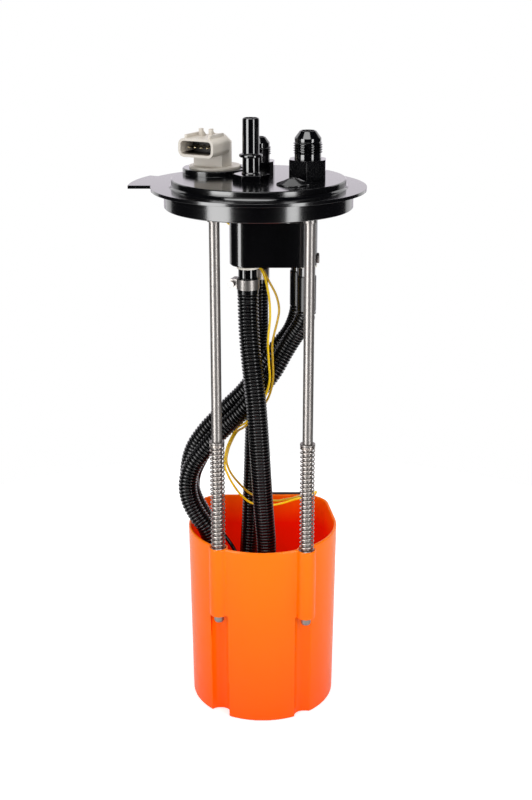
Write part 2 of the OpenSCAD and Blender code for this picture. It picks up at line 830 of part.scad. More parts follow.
// Worm clamp round z, its screw housing towards -X
module worm_clamp(r) {
    box_l = 10;
    box_w = 4.4;
    tube(r + band_t, r + seat_fit, clamp_w);
    difference() {
        translate([-r - box_w, -box_l / 2, 0.4]) cube([box_w + 1, box_l, clamp_w - 0.8]);
        translate([0, 0, -1]) cylinder(r = r + seat_fit, h = clamp_w + 2);
    }
    translate([-r - box_w / 2 - 0.6, -box_l / 2 - 3, clamp_w / 2]) rotate([-90, 0, 0])
        cylinder(r = 2.4, h = box_l + 4, $fn = 32);
}

module upper_hose_clamps() {
    gap = 1.2;
    turns = [-20, -60];
    color(STEEL) for (i = [0:1])
        at(ports_below[i][0], cuff_start_z - gap - clamp_w) rotate([0, 0, turns[i]])
            worm_clamp(ports_below[i][2]);
}

// Guide rods and springs

module guide_rod(place) {
    tip = 2;
    groove = clip_t + 2 * seat_fit;
    color(STEEL) at(place, -rod_reach) difference() {
        rotate_extrude() polygon([
            [0, 0], [rod_r - tip, 0], [rod_r - tip * 0.3, tip * 0.3], [rod_r, tip],
            [rod_r, rod_reach + rod_seat], [0, rod_reach + rod_seat]
        ]);
        for (z = [clip_z + rod_reach - seat_fit, spring_top_z + rod_reach - seat_fit])
            translate([0, 0, z]) tube(rod_r + 1, rod_r - 0.6, groove + (z > 100 ? stop_t - clip_t : 0));
    }
}

module guide_rod_left() {
    guide_rod(rod_at[0]);
}

module guide_rod_right() {
    guide_rod(rod_at[1]);
}

module rod_nuts() {
    color(STEEL) for (place = rod_at) at(place, ceiling_z - nut_h) tube(nut_r, rod_r + seat_fit, nut_h);
}

module spring_stops() {
    color(STEEL) for (place = rod_at)
        at(place, spring_top_z) tube(stop_r, rod_r - 0.6 + seat_fit, stop_t);
}

module rod_clips() {
    color(STEEL) for (place = rod_at)
        at(place, clip_z) tube(clip_r, rod_r - 0.6 + seat_fit, clip_t);
}

module guide_spring(place) {
    color(STEEL) at(place, spring_low_z) helical_spring(coil_r, coil_wire_r, coil_len, coil_turns);
}

module spring_left() {
    guide_spring(rod_at[0]);
}

module spring_right() {
    guide_spring(rod_at[1]);
}

// Hoses, loom, cable and wires

module supply_hose() {
    color(HOSE_BLACK) sweep(hose_curve(supply_route), supply_r, 10);
}

module return_hose() {
    color(HOSE_BLACK) sweep(hose_curve(return_route), hose_r, 10);
}

module draw_hose() {
    color(HOSE_BLACK) sweep(hose_curve(draw_route), hose_r, 10);
}

module wiring_loom() {
    color(HOSE_BLACK) sweep(hose_curve(loom_route), hose_r, 10);
}

module pump_cable() {
    color(RUBBER) sweep(hose_curve(cable_route), cable_r, 8);
}

module sender_wire_yellow() {
    color(YELLOW) sweep(yellow_route, wire_r, 8);
}

module sender_wire_ochre() {
    color(OCHRE) sweep(ochre_route, wire_r, 8);
}

// Bucket

// Plan of the bucket: round in front, flat at the back, moved in by inset
module bucket_plan(inset) {
    hull() {
        intersection() {
            circle(r = bucket_r - inset, $fn = 96);
            translate([-bucket_r, -2 * bucket_r])
                square([2 * bucket_r, 2 * bucket_r + back_y - bucket_at[1] - inset]);
        }
        for (x = [-1, 1])
            translate([x * back_half, back_y - bucket_at[1] - back_corner])
                circle(r = back_corner - inset, $fn = 32);
    }
}

// The plan drawn up from the floor with the mould's draft
module drafted(inset, h) {
    spread = 1 + (1 / bucket_draft - 1) * h / bucket_h;
    linear_extrude(h, scale = spread) scale(bucket_draft) bucket_plan(inset);
}

module bucket_cavity() {
    jacket_r = groove_r + bucket_wall;
    difference() {
        at(bucket_at, inside_z) drafted(bucket_wall, bucket_h - floor_t + 1);
        for (place = rod_at) {
            at(place, tube_low_z - bucket_wall) cylinder(r = tube_r, h = tube_len + bucket_wall + 2);
            at(place, floor_z) cylinder(r = jacket_r, h = tube_low_z - floor_z + bucket_wall);
        }
    }
}

module bucket() {
    color(ORANGE) difference() {
        union() {
            at(bucket_at, floor_z) drafted(0, bucket_h);
            for (place = rod_at) at(place, tube_low_z) cylinder(r = tube_r, h = tube_len);
        }
        bucket_cavity();
        for (place = rod_at) {
            at(place, floor_z - 1) cylinder(r = groove_r, h = tube_low_z - floor_z + 1);
            at(place, tube_low_z - 1) cylinder(r = rod_r + run_fit, h = tube_len + 2);
            at(place, spring_low_z) cylinder(r = seat_bore_r, h = spring_seat + 1);
            at(place, tube_low_z - 1) cylinder(r = clip_recess_r, h = clip_recess + 1);
        }
        at(umbrella_at, floor_z - 1) {
            cylinder(r = 1.6, h = floor_t + 2, $fn = 24);
            for (a = [0:60:300])
                rotate([0, 0, a]) translate([4.2, 0, 0]) cylinder(r = 1.2, h = floor_t + 2, $fn = 24);
        }
    }
}

// Pump, bottom to top

module pump_strainer() {
    color(NATURAL) at(pump_at, inside_z) difference() {
        turned(can_r - 3, strainer_h, 1);
        translate([0, 0, 1.2]) cylinder(r = can_r - 5, h = strainer_h - 2.2);
        translate([0, 0, 2]) cylinder(r = 5, h = strainer_h);
        for (i = [0:7])
            rotate([0, 0, i * 45 + 22.5]) translate([can_r - 6, -2.5, 1.4]) cube([6, 5, strainer_h - 3]);
    }
}

module pump_inlet_cover() {
    color(STEEL) at(pump_at, inlet_z) difference() {
        union() {
            cylinder(r = can_r, h = inlet_h);
            translate([0, 0, -0.5]) cylinder(r = 8, h = 1);
        }
        translate([0, 0, -1]) cylinder(r = shaft_r + 0.4, h = inlet_h + 2);
        translate([7.5, 0, -1]) cylinder(r = 2.5, h = inlet_h + 2, $fn = 32);
    }
}

module pump_can() {
    color(STEEL) at(pump_at, can_z) tube(can_r, can_in_r, can_len);
}

module impeller() {
    blades = 24;
    h = chamber_h - 0.4;
    color(NATURAL) at(pump_at, can_z + 0.2) difference() {
        cylinder(r = impeller_r, h = h);
        translate([0, 0, -1]) cylinder(r = shaft_r + eps, h = h + 2);
        for (i = [0:blades - 1])
            rotate([0, 0, 360 * i / blades]) translate([impeller_r - 2, -0.6, -1]) cube([3, 1.2, h + 2]);
    }
}

module chamber_plate() {
    color(STEEL) at(pump_at, plate_z) difference() {
        cylinder(r = can_in_r - seat_fit, h = plate_t);
        translate([0, 0, -1]) cylinder(r = bush_r + seat_fit, h = plate_t + 2);
        translate([-10.5, 0, -1]) cylinder(r = 2, h = plate_t + 2, $fn = 32);
    }
}

module pump_bushes() {
    color(BRASS) {
        at(pump_at, plate_z) tube(bush_r, shaft_r + run_fit, plate_t);
        at(pump_at, cap_z) tube(bush_r, shaft_r + run_fit, bush_h);
    }
}

module magnets() {
    half = 62;
    in_r = can_in_r - seat_fit - magnet_t;
    color(MAGNET) at(pump_at, magnet_z) for (turn = [0, 180]) rotate([0, 0, turn]) intersection() {
        tube(can_in_r - seat_fit, in_r, magnet_h);
        translate([0, 0, -1]) linear_extrude(magnet_h + 2)
            polygon([[0, 0], [40 * cos(half), 40 * sin(half)], [40, 40], [40, -40],
                [40 * cos(half), -40 * sin(half)]]);
    }
}

module armature() {
    slots = 8;
    h = magnet_h - 4;
    color(COPPER) at(pump_at, magnet_z + 2) difference() {
        cylinder(r = armature_r, h = h);
        translate([0, 0, -1]) cylinder(r = shaft_r + eps, h = h + 2);
        for (i = [0:slots - 1])
            rotate([0, 0, 360 * i / slots]) translate([armature_r - 4, -0.8, -1]) cube([6, 1.6, h + 2]);
    }
}

module commutator() {
    color(BRASS) at(pump_at, commutator_z) tube(commutator_r, shaft_r + eps, commutator_h);
}

module motor_shaft() {
    low = can_z - inlet_h + 1;
    color(STEEL) at(pump_at, low) cylinder(r = shaft_r, h = cap_z + bush_h - 0.5 - low);
}

module brushes() {
    color(MAGNET) for (side = [-1, 1])
        at(pump_at, commutator_z + 1.5)
            translate([side > 0 ? commutator_r + 0.1 : -commutator_r - 0.1 - brush_len, -2, 0])
                cube([brush_len, 4, 5]);
}

// Top cap with the brush holders, the outlet nipple and the power socket
module pump_top_cap() {
    holder_r = commutator_r + 0.1 + brush_len;
    color(RUBBER) difference() {
        union() {
            at(pump_at, cap_z) cylinder(r = can_in_r - seat_fit, h = cap_in + eps);
            at(pump_at, can_top_z) turned(can_r, cap_h, 1.5);
            at(pump_at, commutator_z + 1) for (side = [-1, 1])
                translate([side > 0 ? holder_r : -holder_r - 4, -3, 0])
                    cube([4, 6, cap_z - commutator_z - 1 + eps]);
            at(outlet_at, can_top_z) cylinder(r = nipple_r + 2, h = cap_h + 2);
            at(outlet_at, can_top_z) rotate_extrude() polygon([
                [0, 0], [nipple_r, 0], [nipple_r, cap_h + outlet_len - 1.5],
                [nipple_r - 1.2, cap_h + outlet_len], [0, cap_h + outlet_len]
            ]);
        }
        at(pump_at, cap_z - 1) cylinder(r = bush_r + seat_fit, h = bush_h + 1 + seat_fit);
        at(outlet_at, cap_z - 1) cylinder(r = 2, h = cap_in + 4);
        at(outlet_at, outlet_low_z) cylinder(r = outlet_bore_r, h = poppet_h + check_spring_len);
        at(outlet_at, outlet_low_z) cylinder(r = 2.3, h = cap_h + outlet_len + 2);
        translate([socket_at[0] - 7, socket_at[1] - 5, can_top_z + 2]) cube([9, 10, cap_h - 4]);
    }
}

module check_poppet() {
    color(BRASS) at(outlet_at, outlet_low_z) cylinder(r = poppet_r, h = poppet_h - seat_fit);
}

module check_spring() {
    color(STEEL) at(outlet_at, outlet_low_z + poppet_h)
        helical_spring(2.2, 0.25, check_spring_len - 0.1, 6);
}

module pump_sleeve() {
    color(RUBBER) at(pump_at, can_z + sleeve_low)
        tube(can_r + sleeve_t, can_r + seat_fit, sleeve_len);
}

module pump_bracket() {
    ring_in = can_r + sleeve_t + seat_fit;
    ring_z = can_z + bracket_low;
    color(NATURAL) at(pump_at, 0) {
        translate([0, 0, ring_z]) tube(ring_in + 2, ring_in, bracket_h);
        for (a = [30, 150, 270]) rotate([0, 0, a]) difference() {
            translate([ring_in, -4, inside_z]) cube([3, 8, ring_z + bracket_h - inside_z]);
            translate([0, 0, inside_z - 1]) cylinder(r = ring_in, h = ring_z + bracket_h + 2 - inside_z);
        }
    }
}

module pump_plug() {
    color(RUBBER) {
        translate([socket_at[0] - plug_len - 5, socket_at[1] - 4.8, can_top_z + 2.2])
            cube([plug_len + 5, 9.6, cap_h - 4.4]);
        translate([socket_at[0] - plug_len - 7, socket_at[1] - 6.5, can_top_z + 1])
            cube([6, 13, cap_h - 2]);
    }
}

// Floor fittings

// Turned post on the bucket's floor with a nipple at its top
module nipple_post(r, low, top) {
    h = top - low;
    rotate_extrude() polygon([
        [0, 0], [r, 0], [r, h - cuff_low], [nipple_r, h - cuff_low], [nipple_r, h - 1.5],
        [nipple_r - 1.2, h], [0, h]
    ]);
}

module jet_pump() {
    nozzle_r = 2.5;
    color(NATURAL) difference() {
        union() {
            at(jet_at, inside_z) nipple_post(hose_r - 0.4, inside_z, jet_top_z);
            at(jet_at, jet_z) rotate([0, -90, 0]) translate([0, 0, -2])
                cylinder(r = jet_r, h = jet_len + 2);
        }
        at(jet_at, jet_z - 1) cylinder(r = nipple_r - 1.6, h = jet_top_z);
        at(jet_at, jet_z) rotate([0, -90, 0]) translate([0, 0, -1.3])
            cylinder(r = nozzle_r, h = jet_len + 2.3);
    }
}

module draw_pickup() {
    foot_h = 4;
    color(NATURAL) difference() {
        union() {
            at(pickup_at, inside_z) nipple_post(hose_r - 0.6, inside_z, pickup_top_z);
            at(pickup_at, inside_z) turned(pickup_r, 2 * foot_h, 1.5);
        }
        at(pickup_at, inside_z - 1) cylinder(r = nipple_r - 1.6, h = pickup_top_z - inside_z + 2);
        for (i = [0:5])
            at(pickup_at, inside_z - 1) rotate([0, 0, 60 * i + 30]) translate([2, -1.5, 0])
                cube([pickup_r, 3, foot_h]);
    }
}

module umbrella_valve() {
    color(RUBBER) at(umbrella_at, 0) {
        translate([0, 0, inside_z]) rotate_extrude()
            polygon([[0, 0], [umbrella_r, 0], [umbrella_r - 0.5, 0.8], [1.5, 2.2], [0, 2.2]]);
        translate([0, 0, floor_z + 0.3]) cylinder(r = 1.55, h = floor_t, $fn = 24);
    }
}

outlet_top_z = can_top_z + cap_h + outlet_len;
ports_inside = [[outlet_at, outlet_top_z, supply_r], [jet_at, jet_top_z, hose_r],
    [pickup_at, pickup_top_z, hose_r]];

module lower_hose_ends() {
    color(HOSE_BLACK) for (p = ports_inside) at(p[0], p[1] - cuff_low + 1) difference() {
        cylinder(r = p[2], h = cuff_low);
        translate([0, 0, -1]) cylinder(r = nipple_r + seat_fit, h = cuff_low);
    }
}

module lower_hose_clamps() {
    turns = [200, 100, 0];
    color(STEEL) for (i = [0:2])
        at(ports_inside[i][0], ports_inside[i][1] - cuff_low + 3) rotate([0, 0, turns[i]])
            tube(ports_inside[i][2] + band_t, ports_inside[i][2] + seat_fit, clamp_w);
}

// Level sender on the bucket's flat back

module sender_housing() {
    color(RUBBER) difference() {
        translate([sender_at_x, 0, sender_top_z]) union() {
            translate([-sender_w / 2, sender_y, -sender_h]) cube([sender_w, sender_t, sender_h]);
            translate([-sender_w / 2 + 6, sender_y, -sender_h + 3])
                cube([sender_w - 12, sender_body_t, sender_h - 8]);
        }
        translate([sender_at_x, sender_y + sender_body_t - 2, pivot_z]) rotate([-90, 0, 0])
            cylinder(r = 12, h = 3);
        translate([sender_at_x, sender_y + 1, pivot_z]) rotate([-90, 0, 0])
            cylinder(r = pivot_r + run_fit, h = sender_body_t);
    }
}

module sender_card() {
    color(NATURAL) translate([sender_at_x, sender_y + sender_body_t - 2, pivot_z]) rotate([-90, 0, 0])
        difference() {
            cylinder(r = 11.5, h = 0.8);
            translate([0, 0, -1]) cylinder(r = pivot_r + 0.5, h = 3);
        }
}

module float_hub() {
    color(GREY_PLASTIC) translate([sender_at_x, 0, pivot_z]) {
        translate([0, sender_y + 1.2, 0]) rotate([-90, 0, 0])
            cylinder(r = pivot_r, h = arm_y - sender_y - 1.2);
        translate([0, sender_y + sender_body_t - 0.9, 0]) rotate([-90, 0, 0])
            cylinder(r = 5, h = arm_y - sender_y - sender_body_t + 0.9 + 1.6);
        translate([-3, arm_y - 1.2, -14]) cube([6, 2.8, 14]);
    }
}

module float_arm() {
    low_z = pivot_z - arm_len;
    color(STEEL) {
        translate([sender_at_x, arm_y + 1.6 + arm_r, low_z + 6]) cylinder(r = arm_r, h = arm_len - 4);
        translate([sender_at_x, float_y + 1, low_z + 6]) rotate([-90, 0, 0])
            cylinder(r = arm_r, h = arm_y + 1.6 + arm_r - float_y - 1);
    }
}

float_y = sender_y + 1.5;

module float() {
    color(RUBBER) difference() {
        translate([sender_at_x, float_y, pivot_z - arm_len + 6]) rotate([-90, 0, 0])
            linear_extrude(float_t - 1.5) round_plate(float_w, float_h, 5);
        translate([sender_at_x, float_y - 1, pivot_z - arm_len + 6]) rotate([-90, 0, 0])
            cylinder(r = arm_r + seat_fit, h = float_t + 2);
    }
}

cover_plate();
connector_housing();
connector_pins();
connector_seal();
vent_valve_body();
vent_float();
quick_connect_stem();
draw_fitting();
return_fitting();
fitting_seals();
port_manifold();
manifold_screws();
gallery_plug();
manifold_barbs();
barb_washers();
upper_hose_ends();
upper_hose_clamps();
guide_rod_left();
guide_rod_right();
rod_nuts();
spring_stops();
rod_clips();
spring_left();
spring_right();
supply_hose();
return_hose();
draw_hose();
wiring_loom();
pump_cable();
sender_wire_yellow();
sender_wire_ochre();
bucket();
pump_can();
pump_top_cap();
pump_inlet_cover();
chamber_plate();
pump_bushes();
magnets();
motor_shaft();
armature();
commutator();
impeller();
brushes();
check_poppet();
check_spring();
pump_sleeve();
pump_bracket();
pump_strainer();
jet_pump();
draw_pickup();
umbrella_valve();
lower_hose_ends();
lower_hose_clamps();
pump_plug();
sender_housing();
sender_card();
float_hub();
float_arm();
float();
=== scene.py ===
# Fuel lift pump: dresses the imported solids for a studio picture.
# Metres, with the origin on the cover's axis at the underside of its lip.
import json
import math

import bpy
import numpy as np
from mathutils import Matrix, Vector


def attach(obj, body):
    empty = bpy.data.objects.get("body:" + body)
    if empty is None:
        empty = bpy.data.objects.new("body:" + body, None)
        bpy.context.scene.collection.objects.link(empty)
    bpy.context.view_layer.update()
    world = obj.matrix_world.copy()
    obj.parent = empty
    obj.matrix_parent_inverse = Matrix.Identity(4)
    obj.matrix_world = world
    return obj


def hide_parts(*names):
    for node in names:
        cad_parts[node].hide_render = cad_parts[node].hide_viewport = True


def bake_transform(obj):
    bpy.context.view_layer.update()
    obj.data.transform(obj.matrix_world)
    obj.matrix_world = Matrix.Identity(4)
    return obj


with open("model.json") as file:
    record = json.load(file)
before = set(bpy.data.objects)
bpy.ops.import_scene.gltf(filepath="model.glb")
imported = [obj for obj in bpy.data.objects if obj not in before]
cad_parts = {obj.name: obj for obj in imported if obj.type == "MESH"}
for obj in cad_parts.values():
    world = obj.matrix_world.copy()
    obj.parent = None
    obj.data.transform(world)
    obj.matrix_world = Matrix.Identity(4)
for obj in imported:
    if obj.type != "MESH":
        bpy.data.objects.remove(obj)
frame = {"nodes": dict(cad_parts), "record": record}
nodes = frame["nodes"]
scene = bpy.context.scene
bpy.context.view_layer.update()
print("frame loaded with", len(nodes), "nodes")

# camera, where the photograph was taken from
cameraSet = {"place": (0.0056, -0.980, 0.16115), "down": 0.3262, "lens": 57.76}
cameraData = bpy.data.cameras.new("photoCamera")
cameraData.lens = cameraSet["lens"]
cameraData.sensor_width = 36
cameraData.clip_start = 0.02
cameraData.clip_end = 30
camera = bpy.data.objects.new("photoCamera", cameraData)
camera.location = cameraSet["place"]
camera.rotation_euler = (math.pi / 2 - cameraSet["down"], 0, 0)
scene.collection.objects.link(camera)
scene.camera = camera


# small helpers
def inMillimetres(points):
    return [Vector(p) / 1000 for p in points]


def deselectAll():
    if bpy.context.object and bpy.context.object.mode != "OBJECT":
        bpy.ops.object.mode_set(mode="OBJECT")
    bpy.ops.object.select_all(action="DESELECT")


def pick(obj):
    # selects only this object and makes it the active one
    deselectAll()
    obj.select_set(True)
    bpy.context.view_layer.objects.active = obj


def settle(obj):
    # puts the object's place into its mesh
    pick(obj)
    bpy.ops.object.transform_apply(location=True, rotation=True, scale=True)
    return obj


def addModifier(obj, kind, **values):
    # adds one modifier and applies it at once
    pick(obj)
    mod = obj.modifiers.new(kind.title(), kind)
    for key, value in values.items():
        setattr(mod, key, value)
    bpy.ops.object.modifier_apply(modifier=mod.name)
    return obj


def smoothByAngle(obj, degrees):
    pick(obj)
    bpy.ops.object.shade_smooth_by_angle(angle=math.radians(degrees))
    return obj


# routes of the hoses and wires, in millimetres, the same points as the solids
supplyRoute = [(-8.4, -14, -78.8), (-8.4, -14, -84), (-7.8, -16.5, -104), (-6.6, -19.5, -122),
               (-4.8, -21.5, -140), (-2, -22.5, -168), (0.5, -20.5, -206), (3, -15.5, -250),
               (5.5, -11, -285), (6, -9, -302), (6, -9, -317.2)]
returnRoute = [(0, 22, -78.8), (0, 22, -84), (0, 25, -102), (0, 29, -122), (-1, 31, -142), (-3, 31.5, -175),
               (-5, 30, -223), (-7, 28, -275), (-10, 29, -325), (-13, 31, -358), (-14, 32, -374),
               (-14, 32, -385.7)]
drawRoute = [(37, -8.5, -93.8), (37, -8.5, -97), (33, -5, -107), (27, -1.5, -117.5), (20, 0, -130),
             (12, 0, -145), (3.5, 0, -157), (-6, 0, -170), (-15, 0, -181), (-23, 0, -189),
             (-34, -0.5, -200), (-46, -2.5, -214), (-55, -4.5, -227), (-58.5, -6.5, -241),
             (-56.5, -8, -255), (-50, -9.5, -268), (-42.5, -10.5, -280), (-38, -10.5, -300),
             (-36.5, -9.5, -340), (-36, -9, -374), (-36, -9, -387.7)]
loomRoute = [(32, 10, -93.8), (32, 10, -97), (30, 12, -106), (25.5, 14, -117), (18, 15, -127),
             (8.8, 15, -139), (1, 15, -150), (-7.5, 15, -162), (-15, 15, -171), (-24, 15, -180),
             (-34, 14.5, -190.5), (-44, 13.5, -201.5), (-53, 12, -215), (-57.5, 11, -230),
             (-58, 10.5, -246), (-54, 10, -261), (-46.5, 9.5, -276), (-40, 9.5, -294), (-38.5, 10, -314),
             (-38, 10, -330), (-35.5, 10, -341), (-30.5, 10, -347.5), (-26.3, 10, -347.5)]
cableRoute = [(-29, 30, -3.3), (-29, 30, -9), (-26, 35, -22), (-20, 40.5, -34), (-12, 44.5, -50),
              (-8, 44.5, -80), (-8, 43.5, -140), (-12, 43, -172), (-24, 37, -195), (-35, 29, -213),
              (-44, 25, -230), (-50.5, 23, -244), (-51.5, 22.5, -257), (-47, 22, -271), (-41, 20.5, -284),
              (-30, 15, -296), (-21.5, 8, -306), (-16.5, 8, -320), (-14, 9, -336), (-14, 9, -344.4)]
yellowRoute = [(-33, 24, -3.3), (-33, 24, -8), (-29.5, 26.5, -20), (-25.5, 29.5, -31), (-20, 34.5, -36.5),
               (-15, 36, -46), (-10, 36, -57), (-9, 33, -60), (-9, 20, -60.5), (-9.5, 6, -60.5),
               (-6, 1, -60), (0, -3, -60.5), (3, -4.7, -64), (5.7, -6, -71.5), (8.2, -8, -85),
               (8.8, -10, -97), (8.3, -11, -105.5), (7.4, -12, -114), (7.2, -12, -124), (8, -12, -137),
               (8.5, -12, -150), (5, -11.6, -163), (-2, -10.5, -175), (-7, -7, -183.5), (-10.8, -1, -189.5),
               (-14, 5, -193.5), (-18, 8.5, -197.5), (-21.9, 7, -203.5), (-26, 5, -212.4),
               (-28.1, 2.5, -221.7), (-28.1, 3, -229.9), (-26.4, 5, -236), (-22.8, 8, -245.2),
               (-16.5, 11, -256.4), (-9.2, 13.5, -264.7), (-3, 14, -267.5), (4, 15, -269.5),
               (14.2, 19, -270), (21, 23, -270), (28.6, 30, -270.5), (35.4, 38, -272), (42, 49, -274),
               (47.5, 57, -275.3), (49.5, 61.5, -276), (49, 64.5, -279.5), (44, 64.5, -285),
               (39, 62.8, -286.5), (36.4, 62.8, -286.5)]
ochreRoute = [(-36, 22, -3.3), (-36, 22, -8), (-33.5, 26.5, -16), (-28.5, 31.5, -25), (-20.5, 36, -33),
              (-16, 39.8, -44), (-12, 40, -59), (-12, 34, -62.5), (-12, 20, -63), (-12, 7, -63),
              (-8, 3.5, -62.5), (0, 0, -62), (3.5, -2, -63.5), (8.2, -3.5, -72), (13.5, -4, -82.5),
              (15.8, -6, -92.5), (14.8, -8, -101), (11.8, -10.2, -113), (10.5, -11.8, -121),
              (11, -12, -135), (11, -12, -150), (7.4, -11.8, -164.5), (-1, -12.2, -177.5),
              (-6.4, -9.4, -185), (-10.2, -3.8, -190.5), (-13.4, 2.4, -195.3), (-17.6, 6, -199.2),
              (-21.2, 4.6, -204.5), (-25, 2.4, -213), (-26.7, 0, -221), (-26, 0.8, -227.3),
              (-22.7, 4, -236.4), (-16.4, 9, -247), (-10.1, 13, -255.3), (-5.4, 15, -259.5),
              (2, 17.5, -264), (14.2, 21.5, -267.5), (21, 26, -268.5), (28.6, 33, -270), (35.5, 42, -271.5),
              (42, 53.5, -273.2), (45, 59.5, -274.8), (46, 63, -276.2), (44, 65, -280),
              (39.5, 62.8, -282.5), (36.4, 62.8, -282.5)]


def curveThrough(points, step):
    # straight first and last stretch, a smooth curve between, cut into equal steps
    line = [points[0]]
    inner = points[1:-1]
    cuts = 12
    for i in range(len(inner) - 1):
        a = inner[max(i - 1, 0)]
        b, c = inner[i], inner[i + 1]
        d = inner[min(i + 2, len(inner) - 1)]
        for k in range(cuts):
            t = k / cuts
            line.append(0.5 * (2 * b + (c - a) * t + (2 * a - 5 * b + 4 * c - d) * t * t
                               + (3 * b - a - 3 * c + d) * t ** 3))
    line += [inner[-1], points[-1]]
    line = np.array([list(p) for p in line])
    far = np.concatenate([[0], np.cumsum(np.linalg.norm(np.diff(line, axis=0), axis=1))])
    count = max(2, round(far[-1] / step))
    at = np.linspace(0, far[-1], count + 1)
    return np.stack([np.interp(at, far, line[:, i]) for i in range(3)], 1), far[-1]


def sweptTube(name, line, radii, sides):
    # a closed tube along the line, with one radius for each point and a UV map that runs round and along it
    heading = np.gradient(line, axis=0)
    heading /= np.linalg.norm(heading, axis=1, keepdims=True)
    side = np.array([1.0, 0, 0])
    angles = np.linspace(0, 2 * math.pi, sides, endpoint=False)
    verts, faces, around = [], [], []
    for p, h, r in zip(line, heading, radii):
        side = side - side.dot(h) * h
        side /= np.linalg.norm(side)
        up = np.cross(h, side)
        for a in angles:
            verts.append(p + r * (math.cos(a) * side + math.sin(a) * up))
    rings = len(line)
    for i in range(rings - 1):
        for k in range(sides):
            n = (k + 1) % sides
            faces.append((i * sides + k, i * sides + n, (i + 1) * sides + n, (i + 1) * sides + k))
            around.append(((k, i), (k + 1, i), (k + 1, i + 1), (k, i + 1)))
    faces.append(tuple(reversed(range(sides))))
    faces.append(tuple((rings - 1) * sides + k for k in range(sides)))
    mesh = bpy.data.meshes.new(name)
    mesh.from_pydata([tuple(v) for v in verts], [], faces)
    uv = mesh.uv_layers.new(name="alongTube").data
    flat = [(k / sides, i / rings) for ring in around for k, i in ring]
    for slot, value in enumerate(flat):
        uv[slot].uv = value
    mesh.update()
    obj = bpy.data.objects.new(name, mesh)
    scene.collection.objects.link(obj)
    smoothByAngle(obj, 60)
    return obj


# the ribbed tubes: outer radius, rib pitch and groove depth in metres
ribbed = {
    "supplyHoseRibbed": {"route": supplyRoute, "node": "supply_hose", "radius": 0.0082, "pitch": 0.00275,
                         "depth": 0.0013, "stiffness": "medium"},
    "returnHoseRibbed": {"route": returnRoute, "node": "return_hose", "radius": 0.0076, "pitch": 0.00275,
                         "depth": 0.0013, "stiffness": "medium"},
    "drawHoseRibbed": {"route": drawRoute, "node": "draw_hose", "radius": 0.0076, "pitch": 0.00275,
                       "depth": 0.0013, "stiffness": "medium"},
    "loomConduitRibbed": {"route": loomRoute, "node": "wiring_loom", "radius": 0.0076, "pitch": 0.00275,
                          "depth": 0.0013, "stiffness": "medium"},
}
ribShape = [1.0, 0.72, 0.16, 0.02, 0.0, 0.02, 0.16, 0.72]  # how deep each ring of one rib lies
hoses = {}
for name, made in ribbed.items():
    line, length = curveThrough(inMillimetres(made["route"]), made["pitch"] / len(ribShape))
    radii = [made["radius"] - made["depth"] * ribShape[i % len(ribShape)] for i in range(len(line))]
    hose = sweptTube(name, line, radii, 28)
    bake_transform(hose)
    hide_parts(made["node"])
    hoses[name] = hose
    print("made", name, "length", round(float(length), 4))

# the smooth cable and the two thin wires
thin = {
    "pumpCable": {"route": cableRoute, "node": "pump_cable", "radius": 0.0016, "slot": "hose_black"},
    "senderWireYellow": {"route": yellowRoute, "node": "sender_wire_yellow", "radius": 0.0009,
                         "slot": "yellow_wire"},
    "senderWireOchre": {"route": ochreRoute, "node": "sender_wire_ochre", "radius": 0.0009,
                        "slot": "ochre_wire"},
}
wires = {}
for name, made in thin.items():
    line, length = curveThrough(inMillimetres(made["route"]), 0.0015)
    wire = sweptTube(name, line, [made["radius"]] * len(line), 12)
    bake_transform(wire)
    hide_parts(made["node"])
    wires[name] = wire
    print("made", name, "length", round(float(length), 4))


# shared effects, as shader node groups
def newGroup(name, inputs, outputs):
    group = bpy.data.node_groups.new(name, "ShaderNodeTree")
    for title, kind, value in inputs:
        socket = group.interface.new_socket(title, in_out="INPUT", socket_type=kind)
        if value is not None:
            socket.default_value = value
    for title, kind in outputs:
        group.interface.new_socket(title, in_out="OUTPUT", socket_type=kind)
    return group, group.nodes.new("NodeGroupInput"), group.nodes.new("NodeGroupOutput")


def link(tree, a, b):
    tree.links.new(a, b)


def mathNode(tree, operation, *values):
    node = tree.nodes.new("ShaderNodeMath")
    node.operation = operation
    for socket, value in zip(node.inputs, values):
        if isinstance(value, (int, float)):
            socket.default_value = value
        else:
            link(tree, value, socket)
    return node.outputs[0]


# fine moulding grain: a height for the bump and a slow mottle for the colour
grainGroup, gIn, gOut = newGroup("mouldGrain", [("Grain Scale", "NodeSocketFloat", 900.0),
                                                ("Mottle Scale", "NodeSocketFloat", 25.0)],
                                 [("Height", "NodeSocketFloat"), ("Mottle", "NodeSocketFloat")])
place = grainGroup.nodes.new("ShaderNodeTexCoord")
fine = grainGroup.nodes.new("ShaderNodeTexNoise")
fine.inputs["Detail"].default_value = 3
slow = grainGroup.nodes.new("ShaderNodeTexNoise")
slow.inputs["Detail"].default_value = 2
for node, title in ((fine, "Grain Scale"), (slow, "Mottle Scale")):
    link(grainGroup, place.outputs["Object"], node.inputs["Vector"])
    link(grainGroup, gIn.outputs[title], node.inputs["Scale"])
link(grainGroup, fine.outputs["Fac"], gOut.inputs["Height"])
link(grainGroup, slow.outputs["Fac"], gOut.inputs["Mottle"])

